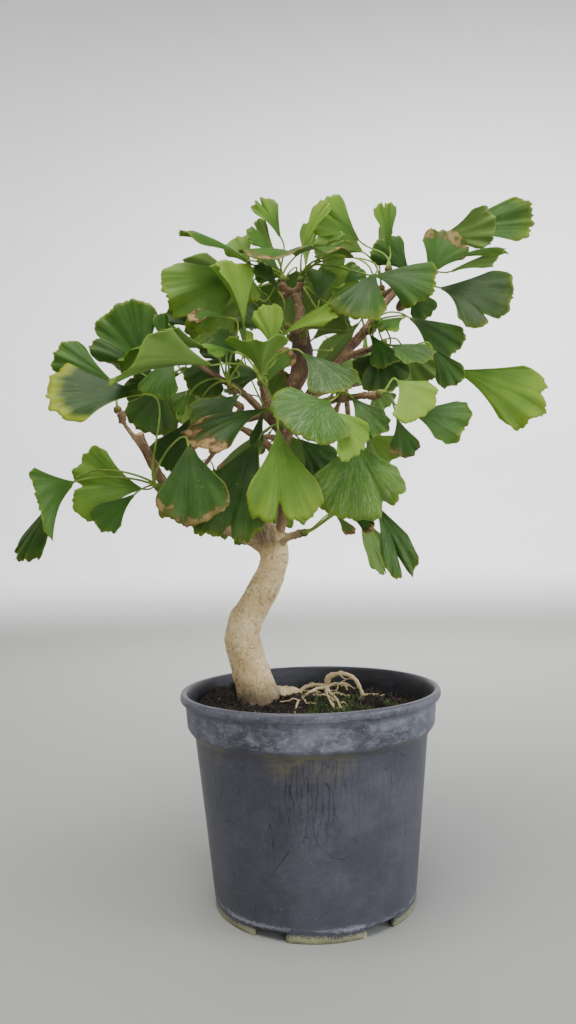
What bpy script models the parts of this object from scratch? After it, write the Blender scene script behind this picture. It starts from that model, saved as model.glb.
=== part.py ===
# Ginkgo bonsai in a plastic nursery pot.
# Lengths below are in millimetres, from the ground under the middle of the pot, and become metres
# in the meshes. +Z is up and the front of the tree looks along -Y. The crown leans past the pot,
# so the meshes are moved by FRAME_SHIFT to stand with the middle of the whole over the origin.
import math

import bmesh
import bpy
import numpy as np
from mathutils import Vector
from mathutils.bvhtree import BVHTree

MM = 0.001
GAP = 0.3
FRAME_SHIFT = np.array((15.0, -23.0, 0.0))

# Pot: outer wall, from the feet up to the bead of the rim
POT_HEIGHT = 134.0
RIM_RADIUS = 85.0
BAND_RADIUS = 81.8
BAND_FOOT_RADIUS = 80.8
BAND_BOTTOM = 113.0
SHOULDER_RADIUS = 76.0
SHOULDER_HEIGHT = 106.0
BASE_RADIUS = 64.8
WALL = 1.8
FLOOR_BOTTOM = 6.6
POT_SIDES = 32
FOOT_COUNT = 6
NOTCH_WIDTH_DEG = 18.0
NOTCH_HEIGHT = 5.6
FIRST_NOTCH_DEG = -116.0
DRAIN_RADIUS = 5.0
DRAIN_CIRCLE = 46.0

# Soil: its level, and the mound round the roots
SOIL_LEVEL = 118.5
MOUND_HEIGHT = 4.0
MOUND_RADIUS = 34.0
MOUND_MIDDLE = (8.0, 12.0)
SOIL_RINGS = 4

# Wood: centre lines with a radius at each point (x, y, z, radius)
TRUNK = [(-33, 18, 100, 16), (-33, 18, 112, 16.5), (-34, 18, 121, 15.5), (-37, 18, 132, 13.5),
         (-41, 18, 146, 12.6), (-44, 18, 158, 12.2), (-45, 18, 167, 12), (-42, 18, 177, 11.6),
         (-36, 18, 187, 11), (-29, 18, 199, 10.4), (-24, 18, 210, 9.9), (-21, 18, 220, 9.4),
         (-20, 18, 230, 8)]
CUT_TOP = [(-23, 18, 222, 8.5), (-26, 17, 233, 8), (-29, 17, 242, 7)]
LEADER = [(-20, 19, 225, 4.4), (-17, 18, 238, 3.6), (-15, 17, 252, 3.3), (-14, 14, 272, 3.4),
          (-14, 10, 290, 3.7), (-14, 8, 308, 4.2), (-9, 10, 327, 4.4), (-1, 14, 346, 6.2),
          (1, 15, 362, 7.4), (1, 15, 374, 5.6), (1, 15, 388, 3.6), (-3, 15, 404, 2.8)]
BRANCHES = {
    "centre": [(-14, 8, 304, 3.6), (-20, -6, 316, 3.4), (-25, -14, 327, 3)],
    "left": [(-22, 18, 224, 6), (-38, 14, 232, 4.2), (-53, 9, 239, 3.6), (-67, 1, 247, 3.4),
             (-81, -7, 257, 3.3), (-92, -14, 271, 3.2), (-100, -20, 287, 3.1), (-106, -23, 302, 3)],
    "left_shoot": [(-99, -19, 284, 1.8), (-107, -25, 297, 1.6), (-115, -29, 309, 1.3)],
    "middle_left": [(-15, 9, 305, 3), (-37, -1, 328, 2.5), (-56, -4, 341, 2.2), (-73, -7, 353, 2)],
    "right": [(-13, 10, 297, 3.4), (3, 4, 326, 3.4), (27, -3, 352, 3.3), (43, -5, 369, 3.1),
              (60, -1, 391, 2.5), (74, 5, 405, 2.1), (87, 9, 414, 1.8)],
    "front_right": [(0, 7, 320, 2.8), (14, -18, 320, 2.5), (29, -40, 318, 2.2), (40, -52, 317, 2)],
    "low_right": [(26, -3, 351, 2.4), (47, -12, 355, 2.1), (63, -16, 352, 1.8)],
    "low_twig": [(-19, 17, 227, 2.8), (-12, 6, 232, 2.2), (-7, -2, 234, 2)],
    "back_left": [(-15, 12, 287, 3.2), (-30, 34, 304, 2.6), (-50, 52, 318, 2.2)],
    "back_right": [(-8, 12, 325, 3.2), (12, 38, 336, 2.6), (34, 56, 346, 2.2)],
}
ROOTS = {
    "nub": [(-26, 22, 117, 7), (-17, 28, 121.5, 5.4), (-10, 36, 121, 4), (-5, 42, 117, 3)],
    "arch": [(-8, 38, 113, 3), (6, 45, 113, 3), (12, 47, 119, 2.8), (13, 46, 127, 2.8),
             (16, 43, 133.5, 2.5), (23, 38, 135.5, 2.2), (30, 34, 133.5, 2), (35, 31, 128, 1.9),
             (38, 29, 119, 1.9), (39, 28, 114, 1.6)],
    "long": [(-10, 37, 120, 2.2), (-3, 47, 124.5, 1.9), (6, 46, 126.4, 1.8), (12, 33, 126.6, 1.7),
             (14, 15, 126.2, 1.6), (18, -6, 124, 1.3), (22, -22, 118, 1)],
    "left_fork": [(11, 35, 126.4, 1.5), (2, 22, 127, 1.4), (-7, 0, 124.6, 1.3), (-12, -22, 118, 1)],
    "front_fork": [(12, 31, 126.4, 1.5), (12, 8, 126.6, 1.2), (15, -14, 122.5, 1.1),
                   (17, -24, 117.5, 1)],
    "back_fork": [(12, 33, 126.6, 1.4), (19, 44, 127.6, 1.1), (26, 50, 125.5, 1), (30, 52, 117, 1)],
}
SPUR_RADIUS = 2.7
SPUR_LENGTH = 3.5
BUD_LENGTH = 4.5
BUD_SIDES = 4

# Leafy sprays: where the bud sits, and the way it points
SPRAYS = {
    "left_low": ((-93, -22, 266), (-3, -7, 3)),
    "left_tip": ((-116, -31, 314), (-5, -3, 8)),
    "left_upper": ((-77, -9, 357), (-7, -2, 6)),
    "left_inner": ((-46, -9, 332), (-5, -6, 6)),
    "front_whorl": ((-26, -20, 331), (-3, -5, 8)),
    "front_low": ((-15, -10, 307), (0, -9, 1)),
    "knob_front": ((2, -1, 367), (0, -6, 7)),
    "knob_left": ((-5, 10, 375), (-8, -2, 6)),
    "crown_left": ((-11, 11, 409), (-2, -1, 10)),
    "crown_right": ((1, 13, 407), (2, -1, 10)),
    "right_crown": ((61, 2, 411), (1, -1, 10)),
    "right_tip": ((90, 10, 417), (6, 0, 8)),
    "right_upper": ((77, 4, 399), (9, -1, 3)),
    "right_front": ((48, -14, 370), (2, -8, 5)),
    "right_low": ((67, -17, 351), (8, -4, 3)),
    "front_right": ((23, -36, 319), (0, -10, 2)),
    "front_far_right": ((43, -55, 316), (6, -7, 1)),
    "low_twig": ((-5, -4, 235), (8, -5, 1)),
}

# Leaves of the front: spray, where the stalk meets the blade, the middle of the far edge, the
# way the upper face looks, the half angle of the fan, and what differs from a plain leaf
FRONT_LEAVES = [
    ("left_low", (-147, -27, 271), (-164, -47, 262), (-1, -10, 1), 44,
     {"skew": 0.33, "shoulder": -0.6, "ripple": 0.02}),
    ("left_low", (-151, -17, 270), (-189, -6, 223), (-3, -10, 2), 13, {}),
    ("left_low", (-107, -10, 267), (-153, -14, 271), (0, -10, 2), 47, {"fold": 8, "notch": 0.15}),
    ("left_low", (-110, -22, 262), (-133, -26, 242), (-2, -10, 1), 32, {}),
    ("left_low", (-98, -47, 322), (-154, -58, 322), (1, -8, 6), 38, {"bow": 0.05}),
    ("left_low", (-69, -63, 287), (-64, -76, 239), (0, -10, 2), 36, {"shoulder": 0.2, "flare": 0.15}),
    ("left_tip", (-124, -20, 337), (-160, -17, 359), (0, -10, 2), 25, {}),
    ("left_upper", (-103, 7, 348), (-122, -1, 394), (-2, -9, 4), 35, {}),
    ("left_upper", (-113, 22, 352), (-142, 22, 379), (0, -9, 5), 30, {}),
    ("left_upper", (-90, 2, 362), (-94, -1, 385), (0, -10, 2), 18, {}),
    ("left_upper", (-82, -17, 354), (-97, -28, 323), (-2, -9, 3), 32, {}),
    ("left_upper", (-85, 13, 349), (-119, 18, 337), (0, -10, 2), 32, {}),
    ("left_upper", (-97, 13, 347), (-121, 18, 330), (0, -10, 2), 34, {}),
    ("left_inner", (-62, -36, 353), (-105, -71, 342), (1, 3, 9), 42, {}),
    ("left_inner", (-48, -12, 378), (-73, -20, 377), (-1, -6, 8), 32, {}),
    ("left_inner", (-42, -17, 355), (-58, -20, 365), (0, -9, 4), 40, {}),
    ("left_inner", (-42, 0, 326), (-68, -6, 305), (0, -10, 2), 40, {}),
    ("left_inner", (-76, 4, 331), (-85, 4, 318), (0, -10, 2), 20, {}),
    ("left_inner", (-45, 13, 328), (-61, 20, 350), (0, -10, 2), 40, {}),
    ("front_whorl", (-56, -36, 330), (-106, -71, 313), (1, 3, 10), 42, {"fold": 20}),
    ("front_whorl", (-37, -22, 370), (-55, -33, 408), (8, -5, 3), 36, {"fold": 35}),
    ("front_whorl", (-43, -36, 349), (-60, -50, 348), (0, -7, 7), 36, {}),
    ("front_whorl", (-17, -28, 351), (-22, -36, 379), (0, -10, 1), 28, {}),
    ("front_whorl", (-12, -31, 361), (24, -41, 374), (-1, -7, 7), 22, {}),
    ("front_whorl", (-26, -25, 337), (-28, -60, 346), (0, 3, 10), 50, {"fold": 18}),
    ("front_whorl", (-22, -14, 333), (-9, -6, 355), (-1, -9, 3), 34, {}),
    ("front_whorl", (-23, -33, 313), (-71, -55, 289), (-1, -6, 8), 25, {}),
    ("front_low", (30, -44, 292), (31, -63, 242), (0, -10, 4), 52,
     {"notch": 0.15, "at": 0.4, "shoulder": 0.24}),
    ("front_low", (-16, -47, 297), (-12, -60, 238), (0, -10, 2), 33,
     {"fold": 6, "notch": 0.2, "at": -0.12, "shoulder": 0.26}),
    ("front_low", (-29, -25, 295), (-57, -47, 232), (0, -10, 3), 30, {"notch": 0.15, "at": 0.2}),
    ("front_low", (-26, -20, 314), (-32, -25, 290), (0, -10, 2), 14, {}),
    ("front_low", (-2, -6, 297), (17, -1, 277), (0, -10, 2), 40, {}),
    ("knob_front", (30, -14, 372), (20, -24, 390), (0, -6, 8), 26, {}),
    ("knob_front", (14, 7, 381), (33, 13, 396), (0, -10, 2), 34, {}),
    ("knob_left", (-14, -9, 396), (-28, -17, 412), (5, -7, 3), 30, {}),
    ("knob_left", (-22, 15, 377), (-43, 20, 392), (0, -10, 2), 36, {}),
    ("crown_left", (-33, 1, 416), (-87, -13, 386), (0, -10, -2), 34, {"notch": 0.12, "at": 0.3}),
    ("crown_left", (-32, -4, 417), (-77, -22, 433), (0, -4, 10), 20, {}),
    ("crown_left", (-35, -1, 415), (-32, -6, 390), (0, -10, 0), 22, {}),
    ("crown_left", (-33, 7, 421), (-45, 10, 442), (0, -10, 2), 35, {}),
    ("crown_left", (-18, 2, 426), (-34, -6, 438), (1, -8, 5), 26, {}),
    ("crown_left", (-12, 7, 440), (-26, 2, 465), (2, -9, 3), 28, {"notch": 0.2}),
    ("crown_left", (-1, 4, 425), (-3, -50, 406), (0, 1, 10), 55, {"ripple": 0.08}),
    ("crown_left", (-24, 20, 397), (-41, 24, 410), (0, -10, 2), 34, {}),
    ("crown_right", (5, 4, 431), (19, -4, 459), (-4, -8, 2), 17, {}),
    ("crown_right", (12, -1, 418), (29, -12, 435), (-5, -5, 7), 26, {}),
    ("crown_right", (16, 4, 419), (37, 7, 434), (0, -4, 10), 16, {}),
    ("crown_right", (50, -14, 403), (86, -33, 390), (-1, -10, 3), 36, {}),
    ("crown_right", (48, -25, 398), (30, -44, 366), (0, -8, 6), 38, {}),
    ("crown_right", (47, -31, 397), (50, -39, 367), (9, -4, 1), 14, {}),
    ("crown_right", (31, -1, 403), (44, -1, 413), (0, -10, 2), 36, {}),
    ("knob_front", (13, -4, 391), (16, -1, 414), (0, -10, 2), 38, {}),
    ("crown_right", (22, 13, 396), (36, 15, 416), (0, -10, 2), 36, {}),
    ("right_crown", (43, 18, 440), (14, 10, 462), (0, -10, -1), 36, {"notch": 0.15}),
    ("right_crown", (64, 13, 433), (60, 7, 462), (-1, -10, 0), 22, {"notch": 0.15}),
    ("right_tip", (93, -6, 430), (128, -25, 431), (0, 10, 1), 27, {}),
    ("right_tip", (98, 13, 438), (162, 4, 445), (0, -10, 3), 24, {}),
    ("right_tip", (105, 20, 423), (146, 20, 434), (0, -5, 9), 16, {}),
    ("right_upper", (84, 7, 400), (102, 13, 432), (0, -10, 2), 36, {}),
    ("right_upper", (96, -1, 398), (137, -20, 378), (-1, -9, 4), 50, {"notch": 0.2, "at": -0.4}),
    ("right_upper", (78, 20, 404), (58, 24, 426), (0, -10, 2), 36, {}),
    ("right_front", (74, -4, 377), (104, -14, 352), (-1, -10, 3), 34, {}),
    ("right_front", (66, -25, 372), (47, -39, 361), (0, -6, 8), 36, {}),
    ("right_front", (45, -25, 360), (56, -33, 338), (0, -8, 5), 34, {}),
    ("right_front", (55, -36, 351), (74, -55, 335), (0, -5, 8), 40, {}),
    ("right_front", (54, 2, 361), (35, 7, 343), (0, -10, 2), 38, {}),
    ("right_low", (104, 2, 343), (160, -13, 314), (-1, -9, 4), 27, {}),
    ("right_low", (85, -12, 353), (99, -17, 327), (0, -10, 2), 26, {}),
    ("right_low", (74, 7, 338), (86, 10, 316), (0, -10, 2), 36, {}),
    ("front_whorl", (1, -36, 346), (25, -52, 318), (0, -7, 7), 38, {}),
    ("front_right", (15, -60, 312), (-9, -79, 294), (-1, -9, 4), 74, {}),
    ("front_right", (30, -41, 316), (44, -52, 291), (0, -10, 2), 30, {}),
    ("front_right", (15, -74, 317), (35, -90, 297), (2, -9, 4), 38, {"skew": -0.3, "shoulder": 0.05}),
    ("front_right", (28, -9, 312), (55, -12, 295), (0, -10, 2), 38, {}),
    ("front_far_right", (56, -60, 323), (72, -76, 303), (1, -10, 3), 48,
     {"skew": -0.25, "shoulder": 0.08}),
    ("front_far_right", (66, -33, 309), (101, -47, 296), (0, -9, 4), 38, {}),
    ("front_far_right", (58, -39, 303), (62, -47, 279), (0, -10, 2), 32, {}),
    ("low_twig", (44, -25, 252), (62, -36, 206), (2, -10, 2), 21, {"notch": 0.3, "shoulder": 0.35}),
    ("low_twig", (30, -17, 245), (43, -22, 236), (0, -10, 2), 22, {}),
    ("left_inner", (-77, 10, 315), (-93, 14, 281), (0, -10, 2), 40, {}),
    ("left_upper", (-94, 12, 340), (-108, 12, 306), (0, -10, 2), 42, {}),
    ("left_inner", (-58, 8, 361), (-77, 6, 336), (0, -10, 2), 42, {}),
    ("front_whorl", (-26, 4, 345), (-51, 4, 345), (0, -10, 3), 38, {}),
    ("left_upper", (-72, 12, 378), (-87, 12, 397), (0, -10, 2), 46, {}),
    ("crown_left", (-9, 10, 414), (-29, 8, 423), (0, -10, 2), 40, {}),
    ("right_front", (48, -2, 355), (57, -4, 324), (0, -10, 2), 44, {}),
    ("right_upper", (76, 8, 404), (90, 8, 386), (0, -10, 2), 38, {}),
]

# The back of the tree answers the front: sprays and most leaves turned over this plane
MIRROR_PLANE_Y = 20.0
BACK_DEPTH = 1.15
BACK_SEED = 11
BACK_REACH = 150.0
BACK_ANSWERS = 84
BACK_TURN_DEG = 65.0
FOLDED_BACK = -0.3
SHORT_STALK = 8.0

# Leaf blade and stalk
BLADE_THICKNESS = 0.8
STALK_RADIUS = 0.8
STALK_SEGMENTS = 2
STALK_CORNERS = ((1, 0.7), (-1, 0.7), (0, -1.1))
NECK_LENGTH = 3.0
LARGE_LEAF = 42.0
SMALL_LEAF = 26.0
CLEARANCE = 1.0
DEFAULT_LEAF = {"fold": 0.0, "notch": 0.0, "at": 0.0, "skew": 0.0, "shoulder": 0.16,
                "flare": 0.45, "bow": 0.06, "ripple": 0.03}


def clear_scene():
    for item in list(bpy.data.objects):
        bpy.data.objects.remove(item, do_unlink=True)


def material(name, color, roughness, metallic=0.0):
    made = bpy.data.materials.new(name)
    made.use_nodes = True
    shader = made.node_tree.nodes["Principled BSDF"]
    shader.inputs["Base Color"].default_value = (*color, 1.0)
    shader.inputs["Roughness"].default_value = roughness
    shader.inputs["Metallic"].default_value = metallic
    return made


def plastic():
    return material("weathered_plastic", (0.085, 0.095, 0.115), 0.55)


def potting_soil():
    return material("potting_soil", (0.035, 0.024, 0.017), 0.95)


def bark():
    return material("ginkgo_bark", (0.42, 0.33, 0.21), 0.8)


def leaf_green():
    return material("ginkgo_leaf", (0.12, 0.27, 0.045), 0.5)


def mesh_object(name, points, faces, finish=None):
    """One object from points in millimetres and faces; its faces are turned outwards."""
    mesh = bpy.data.meshes.new(name)
    moved = (np.asarray(points, float) + FRAME_SHIFT) * MM
    mesh.from_pydata([tuple(p) for p in moved.tolist()], [], faces)
    work = bmesh.new()
    work.from_mesh(mesh)
    bmesh.ops.recalc_face_normals(work, faces=work.faces)
    work.to_mesh(mesh)
    work.free()
    if finish is not None:
        mesh.materials.append(finish)
    made = bpy.data.objects.new(name, mesh)
    bpy.context.scene.collection.objects.link(made)
    return made


def boolean(base, others, operation):
    """Joins others to base, or cuts them out of it, and removes them."""
    group = bpy.data.collections.new("operands")
    bpy.context.scene.collection.children.link(group)
    for item in others:
        group.objects.link(item)
    change = base.modifiers.new("boolean", "BOOLEAN")
    change.operand_type = "COLLECTION"
    change.collection = group
    change.operation = operation
    change.solver = "EXACT"
    change.use_self = True
    bpy.context.view_layer.update()
    seen = base.evaluated_get(bpy.context.evaluated_depsgraph_get())
    result = bpy.data.meshes.new_from_object(seen)
    base.modifiers.clear()
    base.data = result
    for item in others:
        bpy.data.objects.remove(item, do_unlink=True)
    bpy.data.collections.remove(group)


def unit(vector):
    vector = np.asarray(vector, float)
    return vector / np.linalg.norm(vector)


def smooth_path(points, steps):
    """Catmull-Rom curve through points, which may carry a radius as a fourth number."""
    p = np.asarray(points, float)
    padded = np.vstack([2 * p[0] - p[1], p, 2 * p[-1] - p[-2]])
    path = []
    for i in range(len(p) - 1):
        a, b, c, d = padded[i:i + 4]
        for s in range(steps):
            t = s / steps
            path.append(0.5 * (2 * b + (c - a) * t + (2 * a - 5 * b + 4 * c - d) * t ** 2
                               + (3 * b - a - 3 * c + d) * t ** 3))
    path.append(p[-1])
    return np.array(path)


def tube(name, line, sides, steps, finish=None, extra=0.0):
    """Closed tube along a line of (x, y, z, radius), thicker by extra all over."""
    path = smooth_path(line, steps)
    centre = path[:, :3].copy()
    radius = path[:, 3] + extra
    centre[0] -= unit(centre[1] - centre[0]) * extra
    centre[-1] += unit(centre[-1] - centre[-2]) * extra
    tangent = np.gradient(centre, axis=0)
    across = np.cross(tangent[0], (0.0, 0.0, 1.0))
    if np.linalg.norm(across) < 1e-3 * np.linalg.norm(tangent[0]):
        across = np.array((1.0, 0.0, 0.0))
    points = []
    for c, r, t in zip(centre, radius, tangent):
        t = unit(t)
        across = unit(across - t * np.dot(across, t))
        other = np.cross(t, across)
        for k in range(sides):
            a = 2 * math.pi * k / sides
            points.append(c + r * (math.cos(a) * across + math.sin(a) * other))
    faces = []
    for i in range(len(centre) - 1):
        for k in range(sides):
            n = (k + 1) % sides
            faces.append((i * sides + k, i * sides + n, (i + 1) * sides + n, (i + 1) * sides + k))
    faces.append(tuple(range(sides)))
    last = (len(centre) - 1) * sides
    faces.append(tuple(range(last, last + sides)))
    return mesh_object(name, points, faces, finish)


def pot_profile():
    """(radius, height) round the wall section, from the foot up outside and down inside."""
    outside = [(BASE_RADIUS, 0), (BASE_RADIUS + 0.7, FLOOR_BOTTOM),
               (SHOULDER_RADIUS, SHOULDER_HEIGHT), (SHOULDER_RADIUS + 1.7, SHOULDER_HEIGHT + 2.5),
               (BAND_FOOT_RADIUS - 0.5, BAND_BOTTOM - 1), (BAND_FOOT_RADIUS, BAND_BOTTOM),
               (BAND_RADIUS, 128), (RIM_RADIUS - 0.8, 128.6), (RIM_RADIUS, 130.4),
               (RIM_RADIUS - 0.2, 132.6), (RIM_RADIUS - 1.4, POT_HEIGHT)]
    inside = [(BAND_RADIUS - 0.2, POT_HEIGHT), (BAND_RADIUS - WALL, 131),
              (BAND_FOOT_RADIUS - WALL, BAND_BOTTOM), (SHOULDER_RADIUS - WALL, SHOULDER_HEIGHT - 2),
              (BASE_RADIUS + 0.7 - WALL, FLOOR_BOTTOM + WALL)]
    return outside, inside


def turned(name, profile, sides, finish):
    """Solid of revolution of a closed profile that may end on the axis at both ends."""
    points, faces, rings = [], [], []
    for radius, height in profile:
        if radius == 0:
            rings.append([len(points)])
            points.append((0, 0, height))
            continue
        ring = []
        for k in range(sides):
            a = 2 * math.pi * k / sides
            ring.append(len(points))
            points.append((radius * math.cos(a), radius * math.sin(a), height))
        rings.append(ring)
    pairs = list(zip(rings, rings[1:]))
    if profile[0][0] != 0:
        pairs.append((rings[-1], rings[0]))
    for lower, upper in pairs:
        for k in range(sides):
            n = (k + 1) % sides
            face = {lower[k % len(lower)], lower[n % len(lower)],
                    upper[n % len(upper)], upper[k % len(upper)]}
            if len(lower) == 1:
                faces.append((lower[0], upper[n], upper[k]))
            elif len(upper) == 1:
                faces.append((lower[k], lower[n], upper[0]))
            elif len(face) == 4:
                faces.append((lower[k], lower[n], upper[n], upper[k]))
    return mesh_object(name, points, faces, finish)


def wedge(name, inner, outer, middle_deg, width_deg, bottom, top):
    """Block between two radii and two angles, used to cut a notch."""
    points = []
    for height in (bottom, top):
        for radius, side in ((inner, -0.5), (outer, -0.5), (outer, 0.5), (inner, 0.5)):
            a = math.radians(middle_deg + side * width_deg)
            points.append((radius * math.cos(a), radius * math.sin(a), height))
    faces = [(0, 1, 2, 3), (4, 5, 6, 7), (0, 1, 5, 4), (1, 2, 6, 5), (2, 3, 7, 6), (3, 0, 4, 7)]
    return mesh_object(name, points, faces)


def make_pot():
    outside, inside = pot_profile()
    section = outside + inside + [(0, FLOOR_BOTTOM + WALL), (0, FLOOR_BOTTOM),
                                  (BASE_RADIUS - WALL, FLOOR_BOTTOM), (BASE_RADIUS - WALL, 0)]
    start = section.index((0, FLOOR_BOTTOM))
    section = section[start:] + section[:start]
    pot = turned("pot", section, POT_SIDES, plastic())
    cutters = []
    for k in range(FOOT_COUNT):
        turn = FIRST_NOTCH_DEG + k * 360 / FOOT_COUNT
        cutters.append(wedge("notch", BASE_RADIUS - 9, BASE_RADIUS + 6, turn, NOTCH_WIDTH_DEG,
                             -2, NOTCH_HEIGHT))
        a = math.radians(turn)
        x, y = DRAIN_CIRCLE * math.cos(a), DRAIN_CIRCLE * math.sin(a)
        line = [(x, y, FLOOR_BOTTOM - 2, DRAIN_RADIUS), (x, y, FLOOR_BOTTOM + 4, DRAIN_RADIUS)]
        cutters.append(tube("drain", line, 10, 1))
    boolean(pot, cutters, "DIFFERENCE")
    return pot


def soil_height(x, y):
    """Level of the soil: a mound round the roots, clods, and a dip towards the wall."""
    mx, my = MOUND_MIDDLE
    mound = MOUND_HEIGHT * math.exp(-((x - mx) ** 2 + (y - my) ** 2) / MOUND_RADIUS ** 2)
    left_clods = 4.0 * math.exp(-((x + 66) ** 2 + (y - 28) ** 2) / 16 ** 2)
    clods = 0.9 * math.sin(x / 4.1 + 1.3 * math.sin(y / 5.3)) * math.sin(y / 4.7 + x / 9.0)
    return SOIL_LEVEL + mound + left_clods + clods


def make_soil(wood_cutters):
    _, inside = pot_profile()
    wall = [(r - GAP, z) for r, z in reversed(inside[2:])]
    wall[0] = (wall[0][0], wall[0][1] + GAP)
    top_radius = BAND_FOOT_RADIUS - WALL - 2 * GAP
    points = [(0, 0, wall[0][1])]
    rings = []
    for radius, height in wall:
        rings.append([len(points) + k for k in range(POT_SIDES)])
        for k in range(POT_SIDES):
            a = 2 * math.pi * k / POT_SIDES
            points.append((radius * math.cos(a), radius * math.sin(a), height))
    for i in range(SOIL_RINGS, 0, -1):
        rings.append([len(points) + k for k in range(POT_SIDES)])
        radius = top_radius * i / SOIL_RINGS
        for k in range(POT_SIDES):
            a = 2 * math.pi * k / POT_SIDES
            x, y = radius * math.cos(a), radius * math.sin(a)
            points.append((x, y, soil_height(x, y)))
    middle = len(points)
    points.append((0, 0, soil_height(0, 0)))
    faces = []
    for k in range(POT_SIDES):
        n = (k + 1) % POT_SIDES
        faces.append((0, rings[0][n], rings[0][k]))
        for lower, upper in zip(rings, rings[1:]):
            faces.append((lower[k], lower[n], upper[n], upper[k]))
        faces.append((rings[-1][k], rings[-1][n], middle))
    soil = mesh_object("soil", points, faces, potting_soil())
    boolean(soil, wood_cutters, "DIFFERENCE")
    return soil


def all_sprays():
    """Front sprays by name, and their answers behind the mirror plane, all clear of the wood."""
    sprays = {}
    wood = np.vstack(wood_lines())
    for name, (point, way) in SPRAYS.items():
        sprays[name] = (np.array(point, float), unit(way))
    for name, (point, way) in SPRAYS.items():
        x, y, z = point
        back = np.array((x, MIRROR_PLANE_Y + (MIRROR_PLANE_Y - y) * BACK_DEPTH, z), float)
        if back[1] - y > 14 and abs(x) < 100:
            sprays["back_" + name] = (back, unit((way[0], -way[1], way[2])))
    for name, (point, way) in sprays.items():
        while np.min(np.linalg.norm(wood[:, :3] - point, axis=1) - wood[:, 3]) < SPUR_LENGTH:
            point = point + way
        sprays[name] = (point, way)
    return sprays


def wood_lines():
    lines = [TRUNK, LEADER]
    lines.extend(BRANCHES.values())
    return [smooth_path(line, 4) for line in lines]


def spur_lines(sprays):
    """A spur from the nearest wood to the foot of each bud."""
    wood = np.vstack(wood_lines())
    lines = []
    for point, way in sprays.values():
        nearest = wood[np.argmin(np.linalg.norm(wood[:, :3] - point, axis=1)), :3]
        start = nearest - unit(point - nearest) * 1.2 - (0.3, 0.5, 0.9)
        length = np.linalg.norm(point - start)
        middle = (start + point) / 2 - way * min(2.0, length * 0.1)
        before = point - way * min(4.0, length * 0.4)
        line = [(*start, SPUR_RADIUS * 0.8)]
        if length > 14:
            line.append((*middle, SPUR_RADIUS * 0.8))
        line.append((*before, SPUR_RADIUS))
        line.append((*point, SPUR_RADIUS))
        lines.append(line)
    return lines


def make_wood(sprays, extra=0.0):
    """The tree without its leaves, as one solid: trunk, cut top, branches, spurs and roots."""
    trunk = tube("trunk", TRUNK, 12, 1, bark(), extra)
    parts = [tube("root", line, 5, 1, None, extra) for line in ROOTS.values()]
    if extra:
        return [trunk] + parts
    parts.append(tube("cut_top", CUT_TOP, 8, 1))
    parts.append(tube("leader", LEADER, 8, 1))
    parts.extend(tube("branch", line, 5, 1) for line in BRANCHES.values())
    parts.extend(tube("spur", line, 4, 1) for line in spur_lines(sprays))
    boolean(trunk, parts, "UNION")
    return trunk


def leaf_list(sprays):
    """Every leaf as a dictionary: the front by hand, the back as its answer with some play."""
    leaves = []
    for i, (spray, joint, tip, face, spread, special) in enumerate(FRONT_LEAVES):
        leaf = dict(DEFAULT_LEAF, **special)
        leaf.update(spray=spray, joint=np.array(joint, float), tip=np.array(tip, float),
                    face=np.array(face, float), spread=spread, seed=i + 1)
        leaves.append(leaf)
    draw = np.random.RandomState(BACK_SEED)
    for leaf in list(leaves):
        play = draw.uniform(-1, 1, 9)
        back = "back_" + leaf["spray"]
        if back not in sprays or abs(leaf["tip"][0]) > BACK_REACH or leaf["seed"] % 4 == 0:
            continue
        if leaf["seed"] > BACK_ANSWERS:
            continue
        answer = dict(leaf, spray=back, seed=leaf["seed"] + 100)
        flip = np.array((1, -BACK_DEPTH, 1))
        shift = np.array((0, MIRROR_PLANE_Y * (1 + BACK_DEPTH), 0))
        answer["joint"] = leaf["joint"] * flip + shift + play[:3] * 6
        answer["tip"] = leaf["tip"] * flip + shift + play[3:6] * 8
        turn = math.radians(BACK_TURN_DEG) * play[6]
        x, y, z = leaf["face"] * (1, -1, 1)
        answer["face"] = np.array((x * math.cos(turn) - y * math.sin(turn),
                                   x * math.sin(turn) + y * math.cos(turn), z + play[7] * 4))
        outward = unit(answer["joint"] - sprays[back][0])
        reach = np.linalg.norm(answer["joint"] - sprays[back][0])
        bend = np.dot(outward, unit(answer["tip"] - answer["joint"]))
        if bend > FOLDED_BACK and reach > SHORT_STALK:
            leaves.append(answer)
    return leaves


def leaf_frame(leaf):
    """Along the blade, across it and off its upper face, with the length of the blade."""
    along = leaf["tip"] - leaf["joint"]
    length = np.linalg.norm(along)
    along = along / length
    face = leaf["face"] - along * np.dot(leaf["face"], along)
    face = unit(face)
    return along, np.cross(face, along), face, length


def blade_edge(u, leaf):
    """Reach of the far edge, as a share of the length, from one side (-1) to the other (1)."""
    turn = np.random.RandomState(leaf["seed"]).rand(4) * 2 * math.pi
    reach = 1 - leaf["shoulder"] * np.abs(u) ** 2.6
    reach = reach * (1 - leaf["notch"] * np.exp(-((u - leaf["at"]) / 0.075) ** 2))
    crimp = 0.022 * (1 + np.sin(19 * u + turn[0])) + 0.012 * np.sin(43 * u + turn[1])
    return reach * (1 - crimp - 0.018 * np.sin(9 * u + turn[2])) * (1 + leaf["skew"] * u)


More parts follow.
